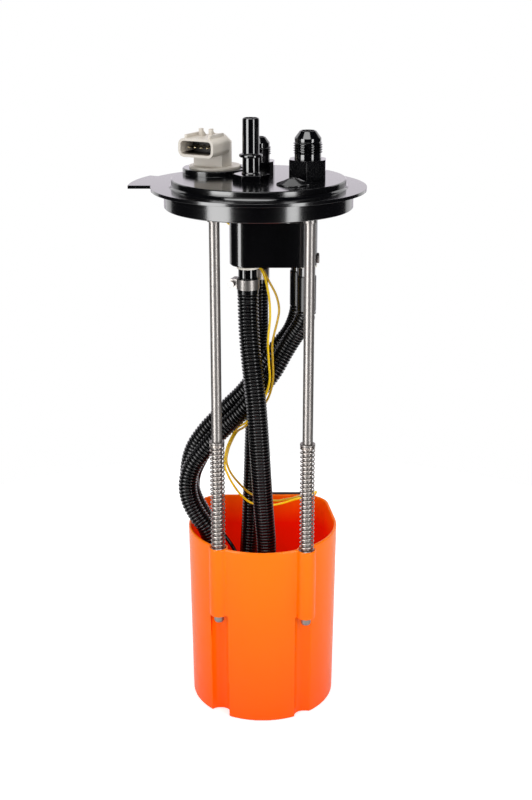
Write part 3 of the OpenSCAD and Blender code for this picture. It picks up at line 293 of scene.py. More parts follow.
# lathe or draw marks: noise pulled long in one direction
marksGroup, mIn, mOut = newGroup("drawnMarks", [("Stretch", "NodeSocketVector", (1.0, 1.0, 0.02)),
                                                ("Mark Scale", "NodeSocketFloat", 1500.0)],
                                 [("Height", "NodeSocketFloat")])
place = marksGroup.nodes.new("ShaderNodeTexCoord")
pull = marksGroup.nodes.new("ShaderNodeVectorMath")
pull.operation = "MULTIPLY"
lines = marksGroup.nodes.new("ShaderNodeTexNoise")
lines.inputs["Detail"].default_value = 2
link(marksGroup, place.outputs["Object"], pull.inputs[0])
link(marksGroup, mIn.outputs["Stretch"], pull.inputs[1])
link(marksGroup, pull.outputs[0], lines.inputs["Vector"])
link(marksGroup, mIn.outputs["Mark Scale"], lines.inputs["Scale"])
link(marksGroup, lines.outputs["Fac"], mOut.inputs["Height"])

# a few specks of dust: a mask of small round dots
dustGroup, dIn, dOut = newGroup("dustSpecks", [("Speck Scale", "NodeSocketFloat", 160.0),
                                               ("Speck Size", "NodeSocketFloat", 0.06)],
                                [("Mask", "NodeSocketFloat")])
place = dustGroup.nodes.new("ShaderNodeTexCoord")
dots = dustGroup.nodes.new("ShaderNodeTexVoronoi")
link(dustGroup, place.outputs["Object"], dots.inputs["Vector"])
link(dustGroup, dIn.outputs["Speck Scale"], dots.inputs["Scale"])
speck = mathNode(dustGroup, "LESS_THAN", dots.outputs["Distance"], dIn.outputs["Speck Size"])
link(dustGroup, speck, dOut.inputs["Mask"])


def startMaterial(name):
    material = bpy.data.materials.new(name)
    material.use_nodes = True
    tree = material.node_tree
    return material, tree, tree.nodes["Principled BSDF"]


def groupNode(tree, group, **values):
    node = tree.nodes.new("ShaderNodeGroup")
    node.node_tree = group
    for title, value in values.items():
        node.inputs[title.replace("_", " ")].default_value = value
    return node


def colourRamp(tree, factor, stops):
    ramp = tree.nodes.new("ShaderNodeValToRGB")
    elements = ramp.color_ramp.elements
    while len(elements) < len(stops):
        elements.new(0.5)
    for element, (at, colour) in zip(elements, stops):
        element.position = at
        element.color = (*colour, 1)
    link(tree, factor, ramp.inputs[0])
    return ramp.outputs[0]


def bumpFrom(tree, shader, height, strength):
    bump = tree.nodes.new("ShaderNodeBump")
    bump.inputs["Strength"].default_value = strength
    bump.inputs["Distance"].default_value = 0.0001
    link(tree, height, bump.inputs["Height"])
    link(tree, bump.outputs[0], shader.inputs["Normal"])


def roughnessFrom(tree, shader, effect, middle, spread):
    rough = mathNode(tree, "MULTIPLY_ADD", effect, spread, middle - spread / 2)
    link(tree, rough, shader.inputs["Roughness"])


def paintedGlow(material, colour, strength):
    # painted light: a little self-lit colour on top of the lit one, so the part glows though it is no lamp
    shader = material.node_tree.nodes["Principled BSDF"]
    shader.inputs["Emission Color"].default_value = (*colour, 1)
    shader.inputs["Emission Strength"].default_value = strength


def plastic(name, dark, light, roughness, grain=900.0, mottle=25.0, strength=0.06):
    material, tree, shader = startMaterial(name)
    effect = groupNode(tree, grainGroup, Grain_Scale=grain, Mottle_Scale=mottle)
    tint = colourRamp(tree, effect.outputs["Mottle"], [(0.3, dark), (0.7, light)])
    link(tree, tint, shader.inputs["Base Color"])
    roughnessFrom(tree, shader, effect.outputs["Mottle"], roughness, 0.12)
    bumpFrom(tree, shader, effect.outputs["Height"], strength)
    return material


def metal(name, dark, light, roughness, stretch, scale=1500.0, strength=0.08):
    material, tree, shader = startMaterial(name)
    shader.inputs["Metallic"].default_value = 1
    effect = groupNode(tree, marksGroup, Stretch=stretch, Mark_Scale=scale)
    tint = colourRamp(tree, effect.outputs["Height"], [(0.3, dark), (0.7, light)])
    link(tree, tint, shader.inputs["Base Color"])
    roughnessFrom(tree, shader, effect.outputs["Height"], roughness, 0.06)
    bumpFrom(tree, shader, effect.outputs["Height"], strength)
    return material


# finish of the anodised parts, where the rings' stretch keeps the noise slow across and quick along the axis
dyeSet = {"black": (0.0012, 0.0012, 0.0018, 1), "dust": (0.02, 0.02, 0.021, 1), "ior": 1.9, "bump": 0.004,
          "rings": (0.02, 0.02, 6), "ringScale": 260.0, "speckScale": 150.0, "speckSize": 0.045}


def anodised(name, roughness):
    # black dyed aluminium: dark under a clear hard oxide, with faint lathe rings and a little dust
    d = dyeSet
    material, tree, shader = startMaterial(name)
    marks = groupNode(tree, marksGroup, Stretch=d["rings"], Mark_Scale=d["ringScale"])
    dust = groupNode(tree, dustGroup, Speck_Scale=d["speckScale"], Speck_Size=d["speckSize"])
    mix = tree.nodes.new("ShaderNodeMix")  # sockets 6 and 7 hold its two colours
    mix.data_type = "RGBA"
    mix.inputs[6].default_value = d["black"]
    mix.inputs[7].default_value = d["dust"]
    link(tree, dust.outputs["Mask"], mix.inputs[0])
    link(tree, mix.outputs[2], shader.inputs["Base Color"])
    roughnessFrom(tree, shader, marks.outputs["Height"], roughness, 0.06)
    shader.inputs["IOR"].default_value = d["ior"]
    bumpFrom(tree, shader, marks.outputs["Height"], d["bump"])
    return material


anodisedBlack = anodised("anodisedBlack", 0.09)
anodisedCover = anodised("anodisedCover", 0.16)
steelBright = metal("steelDrawn", (0.31, 0.29, 0.275), (0.35, 0.33, 0.315), 0.36, (1, 1, 0.02), 900.0, 0.003)
springSteel = metal("springSteel", (0.50, 0.455, 0.42), (0.58, 0.53, 0.49), 0.28, (1, 1, 1), 600.0, 0.01)
hoseBlack = plastic("hoseBlack", (0.0015, 0.0015, 0.002), (0.003, 0.003, 0.0035), 0.18, 700, 40, 0.02)
blackPlastic = plastic("blackNylon", (0.010, 0.010, 0.011), (0.018, 0.018, 0.018), 0.4)
sealRubber = plastic("sealRubber", (0.008, 0.008, 0.008), (0.014, 0.013, 0.013), 0.55, 1200, 40, 0.12)
beigePlastic = plastic("beigeConnector", (0.60, 0.55, 0.48), (0.65, 0.60, 0.53), 0.4, 1100, 60, 0.05)
steelBright.node_tree.nodes["Principled BSDF"].inputs["Metallic"].default_value = 0.85
contactBrass = metal("contactBrass", (0.72, 0.60, 0.36), (0.85, 0.74, 0.50), 0.25, (1, 1, 1), 800.0)
naturalPlastic = plastic("naturalAcetal", (0.78, 0.74, 0.66), (0.84, 0.80, 0.72), 0.42)
yellowPlastic = plastic("yellowInsulation", (1.0, 0.64, 0.0), (1.0, 0.70, 0.002), 0.3, 600, 60, 0.03)
ochrePlastic = plastic("ochreInsulation", (0.58, 0.34, 0.006), (0.66, 0.39, 0.008), 0.3, 600, 60, 0.03)
# painted glow on both wires, so they read brighter than their light makes them
paintedGlow(yellowPlastic, (1.0, 0.6, 0.0), 0.16)
paintedGlow(ochrePlastic, (1.0, 0.6, 0.0), 0.05)


def heightRamp(tree, low, high, stops):
    # a colour that changes with the height on the object, between two heights in metres
    place = tree.nodes.new("ShaderNodeTexCoord")
    parts = tree.nodes.new("ShaderNodeSeparateXYZ")
    span = tree.nodes.new("ShaderNodeMapRange")
    span.inputs["From Min"].default_value = low
    span.inputs["From Max"].default_value = high
    link(tree, place.outputs["Object"], parts.inputs[0])
    link(tree, parts.outputs[2], span.inputs["Value"])
    return colourRamp(tree, span.outputs["Result"], stops)


def mouldedOrangeShaded(name, stops, low, high, roughness):
    # even glossy moulded plastic, with painted shade by height: lighter near the rim, darker lower down
    material, tree, shader = startMaterial(name)
    effect = groupNode(tree, grainGroup, Grain_Scale=260.0, Mottle_Scale=7.0)
    tint = tree.nodes.new("ShaderNodeMix")
    tint.data_type = "RGBA"
    tint.blend_type = "MULTIPLY"
    tint.inputs[0].default_value = 1
    link(tree, heightRamp(tree, low, high, stops), tint.inputs[6])
    mottle = colourRamp(tree, effect.outputs["Mottle"], [(0.2, (0.97, 0.93, 0.9)), (0.8, (1, 1, 1))])
    link(tree, mottle, tint.inputs[7])
    link(tree, tint.outputs[2], shader.inputs["Base Color"])
    roughnessFrom(tree, shader, effect.outputs["Mottle"], roughness, 0.08)
    shader.inputs["Specular IOR Level"].default_value = 0.2
    bumpFrom(tree, shader, effect.outputs["Height"], 0.012)
    return material


# painted shade on the bucket's outside: darker towards the bottom, lightest at the rim
bucketOrange = mouldedOrangeShaded("bucketOrange", [(0, (1.0, 0.115, 0.001)), (0.45, (1.0, 0.165, 0.001)),
                                              (1, (1.0, 0.215, 0.001))], -0.4315, -0.278, 0.2)
# painted shade inside the bucket: deep red low down, orange only near the rim
bucketInsideShade = mouldedOrangeShaded("bucketInsideShade", [(0, (0.75, 0.0, 0.0)), (0.72, (1.0, 0.004, 0.0)),
                                              (0.93, (1.0, 0.14, 0.002)), (1, (1.0, 0.22, 0.002))],
                             -0.375, -0.277, 0.22)
# painted glow on the bucket's outside and inside
paintedGlow(bucketOrange, (1.0, 0.02, 0.0), 0.12)
paintedGlow(bucketInsideShade, (1.0, 0.02, 0.0), 0.2)
magnetFerrite = plastic("ferriteMagnet", (0.03, 0.03, 0.032), (0.05, 0.05, 0.052), 0.6, 1500, 60, 0.2)
windingCopper = metal("windingCopper", (0.55, 0.22, 0.10), (0.75, 0.33, 0.16), 0.35, (1, 1, 0.1), 1200.0)

slotMaterials = {
    "anodised": anodisedBlack, "steel": steelBright, "connector_plastic": beigePlastic,
    "contact_brass": contactBrass, "seal_rubber": sealRubber, "hose_black": hoseBlack,
    "black_plastic": blackPlastic, "yellow_wire": yellowPlastic, "ochre_wire": ochrePlastic,
    "orange_plastic": bucketOrange, "natural_plastic": naturalPlastic, "magnet": magnetFerrite,
    "winding": windingCopper,
}
slotOfNode = {entry["node"]: entry["material_slot"] for entry in frame["record"]["subparts"]}


def wear(obj, material):
    # this material on the whole object
    obj.data.materials.clear()
    obj.data.materials.append(material)


for name, node in nodes.items():
    wear(node, slotMaterials[slotOfNode[name]])
for hose in hoses.values():
    wear(hose, hoseBlack)
wear(wires["pumpCable"], hoseBlack)
wear(wires["senderWireYellow"], yellowPlastic)
wear(wires["senderWireOchre"], ochrePlastic)
print("materials placed")


# springs: a round wire wound by the Screw modifier, with closed coils at each end
springSet = {"coilRadius": 0.00535, "wire": 0.00055, "top": -0.190, "bottom": -0.282, "turns": 27,
             "closed": 1.5, "wireGap": 2.1}
rodPlaces = {"left": (-0.0325, -0.0465), "right": (0.0378, -0.0515)}


def facesOut(obj):
    # doubles merged, then every face turned outwards
    pick(obj)
    bpy.ops.object.mode_set(mode="EDIT")
    bpy.ops.mesh.select_all(action="SELECT")
    bpy.ops.mesh.remove_doubles(threshold=1e-6)
    bpy.ops.mesh.normals_make_consistent(inside=False)
    bpy.ops.object.mode_set(mode="OBJECT")


def closeEnds(coil, pitch):
    # moves each ring of the wire along Z, so that the end coils lie on each other
    s = springSet
    where = np.array([list(v.co) for v in coil.data.vertices])
    share = np.arctan2(where[:, 1], where[:, 0]) / (2 * math.pi)
    best = None
    for hand in (1, -1):
        turn = np.round(where[:, 2] / pitch - hand * share)
        centre = pitch * (turn + hand * share)
        off = np.abs(where[:, 2] - centre).max()
        if best is None or off < best[0]:
            best = (off, centre)
    centre = best[1]
    height = pitch * s["turns"]
    tight = s["closed"] * s["wireGap"] * s["wire"]
    knots = [0, pitch * s["closed"], height - pitch * s["closed"], height]
    placed = np.interp(centre, knots, [0, tight, height - tight, height])
    for v, z in zip(coil.data.vertices, placed - centre):
        v.co.z += z


def windSpring(name, place, node):
    s = springSet
    x, y = place
    deselectAll()
    bpy.ops.mesh.primitive_circle_add(vertices=10, radius=s["wire"], rotation=(math.pi / 2, 0, 0))
    coil = bpy.context.object
    coil.name = name
    coil.location = (s["coilRadius"], 0, 0)
    settle(coil)
    pitch = (s["top"] - s["bottom"] - 2 * s["wire"]) / s["turns"]
    addModifier(coil, "SCREW", axis="Z", steps=24, render_steps=24, iterations=s["turns"], screw_offset=pitch,
                use_merge_vertices=False, use_smooth_shade=True)
    closeEnds(coil, pitch)
    coil.location = (x, y, s["bottom"] + s["wire"])
    settle(coil)
    facesOut(coil)
    smoothByAngle(coil, 60)
    wear(coil, springSteel)
    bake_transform(coil)
    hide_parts(node)


windSpring("springLeft", rodPlaces["left"], "spring_left")
windSpring("springRight", rodPlaces["right"], "spring_right")
print("springs wound")


# turned pieces: a profile extruded point by point, then spun round Z
def turnedPiece(name, profile, centre, steps, edge):
    # a small plane merged to one vertex is the profile's first point
    deselectAll()
    bpy.ops.mesh.primitive_plane_add(size=0.0005, location=(profile[0][0], 0, profile[0][1]))
    piece = bpy.context.object
    piece.name = name
    settle(piece)
    bpy.ops.object.mode_set(mode="EDIT")
    bpy.ops.mesh.select_all(action="SELECT")
    bpy.ops.mesh.merge(type="CENTER")
    for a, b in zip(profile, profile[1:]):
        bpy.ops.mesh.extrude_region_move(TRANSFORM_OT_translate={"value": (b[0] - a[0], 0, b[1] - a[1])})
    bpy.ops.mesh.select_all(action="SELECT")
    bpy.ops.mesh.spin(steps=steps, angle=2 * math.pi, center=(0, 0, 0), axis=(0, 0, 1))
    bpy.ops.mesh.select_all(action="SELECT")
    bpy.ops.mesh.remove_doubles(threshold=1e-6)
    bpy.ops.mesh.normals_make_consistent(inside=False)
    bpy.ops.object.mode_set(mode="OBJECT")
    piece.location = (centre[0], centre[1], 0)
    settle(piece)
    if edge:
        addModifier(piece, "BEVEL", width=edge, segments=3, limit_method="ANGLE",
                    angle_limit=math.radians(25))
    smoothByAngle(piece, 40)
    return evenNormals(piece)


def evenNormals(obj):
    # flat faces stay flat beside their rounded edges
    return addModifier(obj, "WEIGHTED_NORMAL", mode="FACE_AREA", weight=80, keep_sharp=True)


def hexPiece(name, across, height, base, centre, turn, chamfer, bore):
    # a bored hexagon bar whose top corners are turned off by a cone
    deselectAll()
    corner = across / math.sqrt(3)
    bpy.ops.mesh.primitive_cylinder_add(vertices=6, radius=corner, depth=height,
                                        location=(0, 0, base + height / 2), rotation=(0, 0, turn))
    piece = bpy.context.object
    piece.name = name
    settle(piece)
    cutter = turnedPiece(name + "Cutter", [(0, base - 0.001), (corner + 0.0003, base - 0.001),
                                           (corner + 0.0003, base + height - chamfer * 0.55),
                                           (corner - chamfer * 1.2, base + height + 0.0001),
                                           (0, base + height + 0.0001)], (0, 0), 96, 0)
    addModifier(piece, "BOOLEAN", operation="INTERSECT", object=cutter, solver="EXACT")
    bpy.data.objects.remove(cutter)
    low, high = base - 0.01, base + height + 0.01
    drill = turnedPiece(name + "Drill", [(0, low), (bore, low), (bore, high), (0, high)], (0, 0), 64, 0)
    addModifier(piece, "BOOLEAN", operation="DIFFERENCE", object=drill, solver="EXACT")
    bpy.data.objects.remove(drill)
    piece.location = (centre[0], centre[1], 0)
    settle(piece)
    addModifier(piece, "BEVEL", width=0.00028, segments=2, limit_method="ANGLE", angle_limit=math.radians(14))
    smoothByAngle(piece, 28)
    return evenNormals(piece)


def threadPiece(name, root, crest, pitch, low, high, centre):
    # a ridge of V section wound by the Screw modifier, its two ends running out into the body
    deselectAll()
    bpy.ops.mesh.primitive_circle_add(vertices=6, radius=1, fill_type="NGON")
    piece = bpy.context.object
    piece.name = name
    foot, tip = root - 0.0006, crest - 0.0001
    outline = [(foot, 0.04), (root, 0.06), (tip, 0.44), (tip, 0.56), (root, 0.94), (foot, 0.96)]
    for v, (r, z) in zip(piece.data.vertices, outline):
        v.co = (r, 0, z * pitch)
    turns = int((high - low) / pitch) + 1
    addModifier(piece, "SCREW", axis="Z", steps=72, render_steps=72, iterations=turns, screw_offset=pitch,
                use_merge_vertices=False)
    facesOut(piece)
    start = low - pitch * 0.5
    # near low and high the ridge sinks along a short slope
    for v in piece.data.vertices:
        z = v.co.z + start
        reach = math.hypot(v.co.x, v.co.y)
        most = min(crest, root + max(-0.0004, (z - low) * 0.9), root + max(-0.0004, (high - z) * 1.1))
        if reach > most:
            v.co.x *= most / reach
            v.co.y *= most / reach
        v.co.z = min(max(z, low - 0.0002), high + 0.0002)
    piece.location = (centre[0], centre[1], 0)
    settle(piece)
    return smoothByAngle(piece, 30)


def belongs(piece, body, slot, material, *replaced):
    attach(piece, body)
    if replaced:
        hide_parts(*replaced)
    wear(piece, material)
    return piece


# the ports on the hat: heights count from its top, the thread runs from low to high
hatTop = 0.0085
flareAngle = math.radians(37)
flarePorts = {
    "drawPort": {"centre": (0.037, -0.0085), "thread": 0.0111, "across": 0.0272, "hex": 0.0154, "low": 0.0189,
                 "high": 0.0284, "pitch": 0.00181, "node": "draw_fitting"},
    "returnPort": {"centre": (0, 0.022), "thread": 0.0095, "across": 0.0238, "hex": 0.0098, "low": 0.0137,
                   "high": 0.0210, "pitch": 0.00159, "node": "return_fitting"},
}
for name, made in flarePorts.items():
    r, h = made["thread"], hatTop
    neck, nose = r - 0.001, r * 0.54
    root = r - made["pitch"] * 0.61
    coneLow = h + made["high"] + 0.0026
    coneTop = coneLow + (neck - nose) / math.tan(flareAngle)
    body = turnedPiece(name + "Body", [
        (0, h - 0.0068), (0.00795, h - 0.0068), (0.00795, h + 0.0004), (neck, h + 0.0006),
        (neck, h + made["low"] - 0.0005), (root, h + made["low"] + 0.0003), (root, h + made["high"] - 0.0004),
        (root - 0.0001, h + made["high"] + 0.0001), (neck, h + made["high"] + 0.0006), (neck, coneLow),
        (nose + 0.0006, coneTop - 0.0008), (nose + 0.0001, coneTop - 0.0002), (nose - 0.0006, coneTop),
        (nose - 0.0012, coneTop - 0.0004), (nose - 0.0012, h - 0.0058), (0, h - 0.0058)],
        made["centre"], 96, 0.00018)
    belongs(body, "cover", "anodised", anodisedBlack, made["node"])
    nut = hexPiece(name + "Hexagon", made["across"], made["hex"], h, made["centre"], math.radians(-4.5),
                   0.0012, neck - 0.001)
    belongs(nut, "cover", "anodised", anodisedBlack, made["node"])
    thread = threadPiece(name + "Thread", root - 0.0001, r, made["pitch"], h + made["low"], h + made["high"],
                         made["centre"])
    belongs(thread, "cover", "anodised", anodisedBlack, made["node"])
    print("made", name)

# the quick-connect stem with its bead
stemSet = {"centre": (-0.0057, -0.014), "radius": 0.00635, "bore": 0.00485, "height": 0.0463, "bead": 0.0089,
           "beadLow": 0.0175, "beadHigh": 0.0201, "across": 0.0238, "hex": 0.005}
s, h = stemSet, hatTop
stem = turnedPiece("supplyStem", [
    (0, h - 0.0068), (0.0069, h - 0.0068), (0.0069, h + 0.0004), (s["radius"] + 0.0007, h + 0.0006),
    (s["radius"] + 0.0007, h + s["hex"] + 0.0006), (s["radius"], h + s["hex"] + 0.0014),
    (s["radius"], h + s["beadLow"] - 0.0003), (s["radius"] + 0.0003, h + s["beadLow"]),
    (s["bead"] - 0.0007, h + s["beadLow"]), (s["bead"] - 0.0001, h + s["beadLow"] + 0.0006),
    (s["bead"] - 0.0001, h + s["beadHigh"] - 0.0009), (s["bead"] - 0.0007, h + s["beadHigh"] - 0.0002),
    (s["radius"] + 0.0006, h + s["beadHigh"]), (s["radius"], h + s["beadHigh"] + 0.0005),
    (s["radius"], h + s["height"] - 0.0014), (s["radius"] - 0.0004, h + s["height"] - 0.0003),
    (s["radius"] - 0.0008, h + s["height"]), (s["bore"] + 0.0001, h + s["height"]),
    (s["bore"], h + s["height"] - 0.0003), (s["bore"], h - 0.0058), (0, h - 0.0058)], s["centre"], 96, 0.0002)
belongs(stem, "cover", "anodised", anodisedBlack, "quick_connect_stem")
stemNut = hexPiece("supplyStemHexagon", s["across"], s["hex"], h, s["centre"], math.pi / 6, 0.0011, 0.006)
belongs(stemNut, "cover", "anodised", anodisedBlack, "quick_connect_stem")
print("made supplyStem")


# the vent: a low cone on the hat, a cup with its seat under the cover and three small drain holes
ventSet = {"centre": (0.0254, -0.0335), "cone": 0.0123, "rise": 0.0047, "hole": 0.0026, "top": 0.0040,
           "bore": 0.0069, "neck": 0.008, "cup": 0.0086, "cupLow": -0.019, "floor": 0.0016, "seat": 0.003,
           "drains": 3, "drain": 0.0013, "drainOut": 0.0036, "drainDepth": 0.006}
s, h = ventSet, hatTop
vent = turnedPiece("ventValve", [
    (0, s["cupLow"] + s["floor"]), (s["bore"], s["cupLow"] + s["floor"]), (s["bore"], s["seat"]),
    (s["hole"], s["seat"]), (s["hole"], h + s["rise"] - 0.0006), (s["hole"] + 0.0005, h + s["rise"] - 0.0001),
    (s["top"] - 0.0004, h + s["rise"]), (s["top"] + 0.0004, h + s["rise"] - 0.0003),
    (s["cone"] - 0.0003, h + 0.0009), (s["cone"], h + 0.0005), (s["cone"] - 0.0002, h),
    (s["neck"], h), (s["neck"], 0), (s["cup"], 0), (s["cup"], s["cupLow"]), (0, s["cupLow"])],
    s["centre"], 96, 0.0002)
deselectAll()
drills = []
for k in range(s["drains"]):
    a = 2 * math.pi * k / s["drains"]
    place = (s["centre"][0] + s["drainOut"] * math.cos(a), s["centre"][1] + s["drainOut"] * math.sin(a),
             s["cupLow"])
    bpy.ops.mesh.primitive_cylinder_add(vertices=24, radius=s["drain"], depth=s["drainDepth"], location=place)
    drills.append(settle(bpy.context.object))
for drill in drills:
    addModifier(vent, "BOOLEAN", operation="DIFFERENCE", object=drill, solver="EXACT")
    bpy.data.objects.remove(drill)
evenNormals(smoothByAngle(vent, 30))
belongs(vent, "cover", "anodised", anodisedCover, "vent_valve_body")
print("made ventValve")

# the small radius at the foot of the raised hat
footProfile = [(0.0664, 0.0024), (0.0686, 0.0024), (0.0683, 0.0030), (0.0675, 0.0038), (0.0670, 0.0042),
               (0.0664, 0.0042), (0.0664, 0.0024)]
foot = turnedPiece("hatFootRadius", footProfile, (0, 0), 160, 0)
belongs(foot, "cover", "anodised", anodisedBlack)


# a solid's copy with its edges rounded, which stands for it
bodies = frame["record"]["behaviour"]["bodies"]
bodyOfNode = {node: body for body, group in bodies.items() for node in group}
edgeAngle = 32


def rounded(node, width, piece=None, material=None):
    words = node.split("_")
    name = piece or words[0] + "".join(word.title() for word in words[1:]) + "Finished"
    obj = bpy.data.objects.new(name, nodes[node].data.copy())
    scene.collection.objects.link(obj)
    pick(obj)
    bpy.ops.object.mode_set(mode="EDIT")
    bpy.ops.mesh.select_all(action="SELECT")
    bpy.ops.mesh.remove_doubles(threshold=2e-6)
    bpy.ops.mesh.dissolve_limited(angle_limit=math.radians(0.6), delimit={"NORMAL"})
    bpy.ops.object.mode_set(mode="OBJECT")
    smoothByAngle(obj, edgeAngle)
    if width:
        addModifier(obj, "BEVEL", width=width, segments=2, limit_method="ANGLE",
                    angle_limit=math.radians(edgeAngle), miter_outer="MITER_ARC", use_clamp_overlap=True)
        smoothByAngle(obj, edgeAngle)
    evenNormals(obj)
    slot = slotOfNode[node]
    return belongs(obj, bodyOfNode[node], slot, material or slotMaterials[slot], node)


edgeWidths = {  # metres of rounding on each solid that keeps its shape
    "cover_plate": 0.0006, "port_manifold": 0.0005,
    "gallery_plug": 0.0003, "manifold_screws": 0.0002, "manifold_barbs": 0.0003, "barb_washers": 0.0002,
    "upper_hose_ends": 0.0004, "upper_hose_clamps": 0.0002, "guide_rod_left": 0.0003,
    "guide_rod_right": 0.0003, "rod_nuts": 0.0003, "spring_stops": 0.0002, "rod_clips": 0.0001,
    "pump_can": 0.0005, "pump_top_cap": 0.0005, "pump_sleeve": 0.0004, "pump_bracket": 0.0004,
    "draw_pickup": 0.0003, "lower_hose_ends": 0.0003, "lower_hose_clamps": 0.0002, "pump_plug": 0.0004,
    "sender_housing": 0.0006, "sender_card": 0.0001, "float_hub": 0.0003, "float_arm": 0.0002, "float": 0.001,
}
ownFinish = {"cover_plate": anodisedCover, "port_manifold": anodisedCover}
for node, width in edgeWidths.items():
    rounded(node, width, material=ownFinish.get(node))
print("edges rounded on", len(edgeWidths), "solids")

# the connector: painted shade inside its socket, darker away from the mouth
socketSet = {"mouth": (-0.04762, -0.00123, 0.0306), "out": (-0.45399, -0.89101, 0), "wide": 0.0126,
             "high": 0.0062, "dark": 0.014, "from": -0.0004, "to": -0.03}
socketShadeTones = [(0, (0.010, 0.006, 0.004)), (0.4, (0.045, 0.032, 0.025)), (0.75, (0.30, 0.26, 0.22)),
               (1, (0.56, 0.51, 0.44))]
housing = rounded("connector_housing", 0.0004, "connectorHousing")
socketShadePaint, tree, shader = startMaterial("socketShade")
place = tree.nodes.new("ShaderNodeTexCoord")
along = tree.nodes.new("ShaderNodeVectorMath")
along.operation = "DOT_PRODUCT"
along.inputs[1].default_value = socketSet["out"]
link(tree, place.outputs["Object"], along.inputs[0])
mouth, out = Vector(socketSet["mouth"]), Vector(socketSet["out"])
across = Vector((-out.y, out.x, 0))
span = tree.nodes.new("ShaderNodeMapRange")
span.inputs["From Min"].default_value = mouth.dot(out) - socketSet["dark"]
span.inputs["From Max"].default_value = mouth.dot(out)
link(tree, along.outputs["Value"], span.inputs["Value"])
link(tree, colourRamp(tree, span.outputs["Result"], socketShadeTones), shader.inputs["Base Color"])
shader.inputs["Roughness"].default_value = 0.5
housing.data.materials.append(socketShadePaint)
# faces inside the socket take the painted shade
for face in housing.data.polygons:
    spot = face.center - mouth
    inside = abs(spot.dot(across)) < socketSet["wide"] and abs(spot.z) < socketSet["high"]
    if inside and socketSet["to"] < spot.dot(out) < socketSet["from"] and face.normal.dot(out) > -0.5:
        towards = face.normal.dot(across * spot.dot(across) + Vector((0, 0, spot.z))) < 0
        if towards or face.normal.dot(out) > 0.5:
            face.material_index = 1
# four flat blades with tapered tips stand for the contacts
bladeSet = {"wide": 0.0022, "thick": 0.0007, "tip": 0.0007, "from": -0.0035, "to": -0.0185, "pitch": 0.0054,
            "edge": 0.00012}
b = bladeSet
for k in range(4):
    centre = mouth + across * (k - 1.5) * b["pitch"] + out * (b["from"] + b["to"]) / 2
    deselectAll()
    bpy.ops.mesh.primitive_cube_add(size=1, location=centre, rotation=(0, 0, math.atan2(across.y, across.x)))
    blade = bpy.context.object
    blade.name = "contactBlade" + str(k + 1)
    blade.scale = (b["wide"], b["from"] - b["to"], b["thick"])
    settle(blade)
    bpy.ops.object.mode_set(mode="EDIT")
    bpy.ops.mesh.select_all(action="DESELECT")
    bpy.ops.object.mode_set(mode="OBJECT")
    for face in blade.data.polygons:
        face.select = face.normal.dot(out) > 0.9
    bpy.ops.object.mode_set(mode="EDIT")
    bpy.ops.mesh.extrude_region_move(TRANSFORM_OT_translate={"value": tuple(out * b["tip"])})
    bpy.ops.transform.resize(value=(0.55, 0.55, 0.4))
    bpy.ops.object.mode_set(mode="OBJECT")
    addModifier(blade, "BEVEL", width=b["edge"], segments=2, limit_method="ANGLE",
                angle_limit=math.radians(30))
    smoothByAngle(blade, 40)
    belongs(blade, "cover", "contact_brass", contactBrass, "connector_pins")
print("connector finished")

# the bucket: remeshed fine and smoothed, so that every edge and inner corner gets a moulded radius
bucketSet = {"voxel": 0.00062, "smoothing": 9, "triangles": 180000, "axis": (0.0028, 0.0015, 0),
             "floorTop": -0.36, "tube": 0.0068}
bucket = rounded("bucket", 0, "bucketMoulded")
addModifier(bucket, "REMESH", mode="VOXEL", voxel_size=bucketSet["voxel"])
addModifier(bucket, "SMOOTH", factor=0.5, iterations=bucketSet["smoothing"])
triangles = sum(len(face.vertices) - 2 for face in bucket.data.polygons)
print("bucket remeshed,", triangles, "triangles")
addModifier(bucket, "DECIMATE", ratio=min(1, bucketSet["triangles"] / triangles))
pick(bucket)
bpy.ops.object.shade_smooth()
# the floor and the walls that face the axis take the painted inside shade, but not the tubes round the rods
bucket.data.materials.append(bucketInsideShade)
axis = Vector(bucketSet["axis"])
tubes = [Vector((*place, 0)) for place in rodPlaces.values()]
for face in bucket.data.polygons:
    spot = Vector((face.center.x, face.center.y, 0))
    wall = abs(face.normal.z) < 0.4 and face.normal.dot(spot - axis) < 0
    bottom = face.normal.z > 0.5 and face.center.z < bucketSet["floorTop"]
    if (wall or bottom) and min((spot - tube).length for tube in tubes) > bucketSet["tube"]:
        face.material_index = 1
print("bucket finished")


# floor and light
def pathSplit(tree, camera, glossy, other):
    # one strength for what the camera sees, one for reflections, one for the rest
    path = tree.nodes.new("ShaderNodeLightPath")
    first = tree.nodes.new("ShaderNodeMixShader")
    second = tree.nodes.new("ShaderNodeMixShader")
    link(tree, path.outputs["Is Glossy Ray"], first.inputs[0])
    link(tree, other, first.inputs[1])
    link(tree, glossy, first.inputs[2])
    link(tree, path.outputs["Is Camera Ray"], second.inputs[0])
    link(tree, first.outputs[0], second.inputs[1])
    link(tree, camera, second.inputs[2])
    return second.outputs[0]


floorSet = {"radius": 0.55, "top": -0.4316, "colour": (0.8, 0.8, 0.8, 1), "seen": 0.55}
deselectAll()
bpy.ops.mesh.primitive_circle_add(vertices=96, radius=floorSet["radius"], fill_type="NGON",
                                  location=(0, 0, floorSet["top"]))
floor = bpy.context.object
floor.name = "studioFloor"
settle(floor)
material, tree, shader = startMaterial("paleFloor")
shader.inputs["Base Color"].default_value = floorSet["colour"]
shader.inputs["Roughness"].default_value = 0.9
whiteCard = tree.nodes.new("ShaderNodeEmission")
path = tree.nodes.new("ShaderNodeLightPath")
both = tree.nodes.new("ShaderNodeAddShader")
strength = mathNode(tree, "MULTIPLY", path.outputs["Is Camera Ray"], floorSet["seen"])
link(tree, strength, whiteCard.inputs["Strength"])
link(tree, shader.outputs[0], both.inputs[0])
link(tree, whiteCard.outputs[0], both.inputs[1])
link(tree, both.outputs[0], tree.nodes["Material Output"].inputs["Surface"])
wear(floor, material)

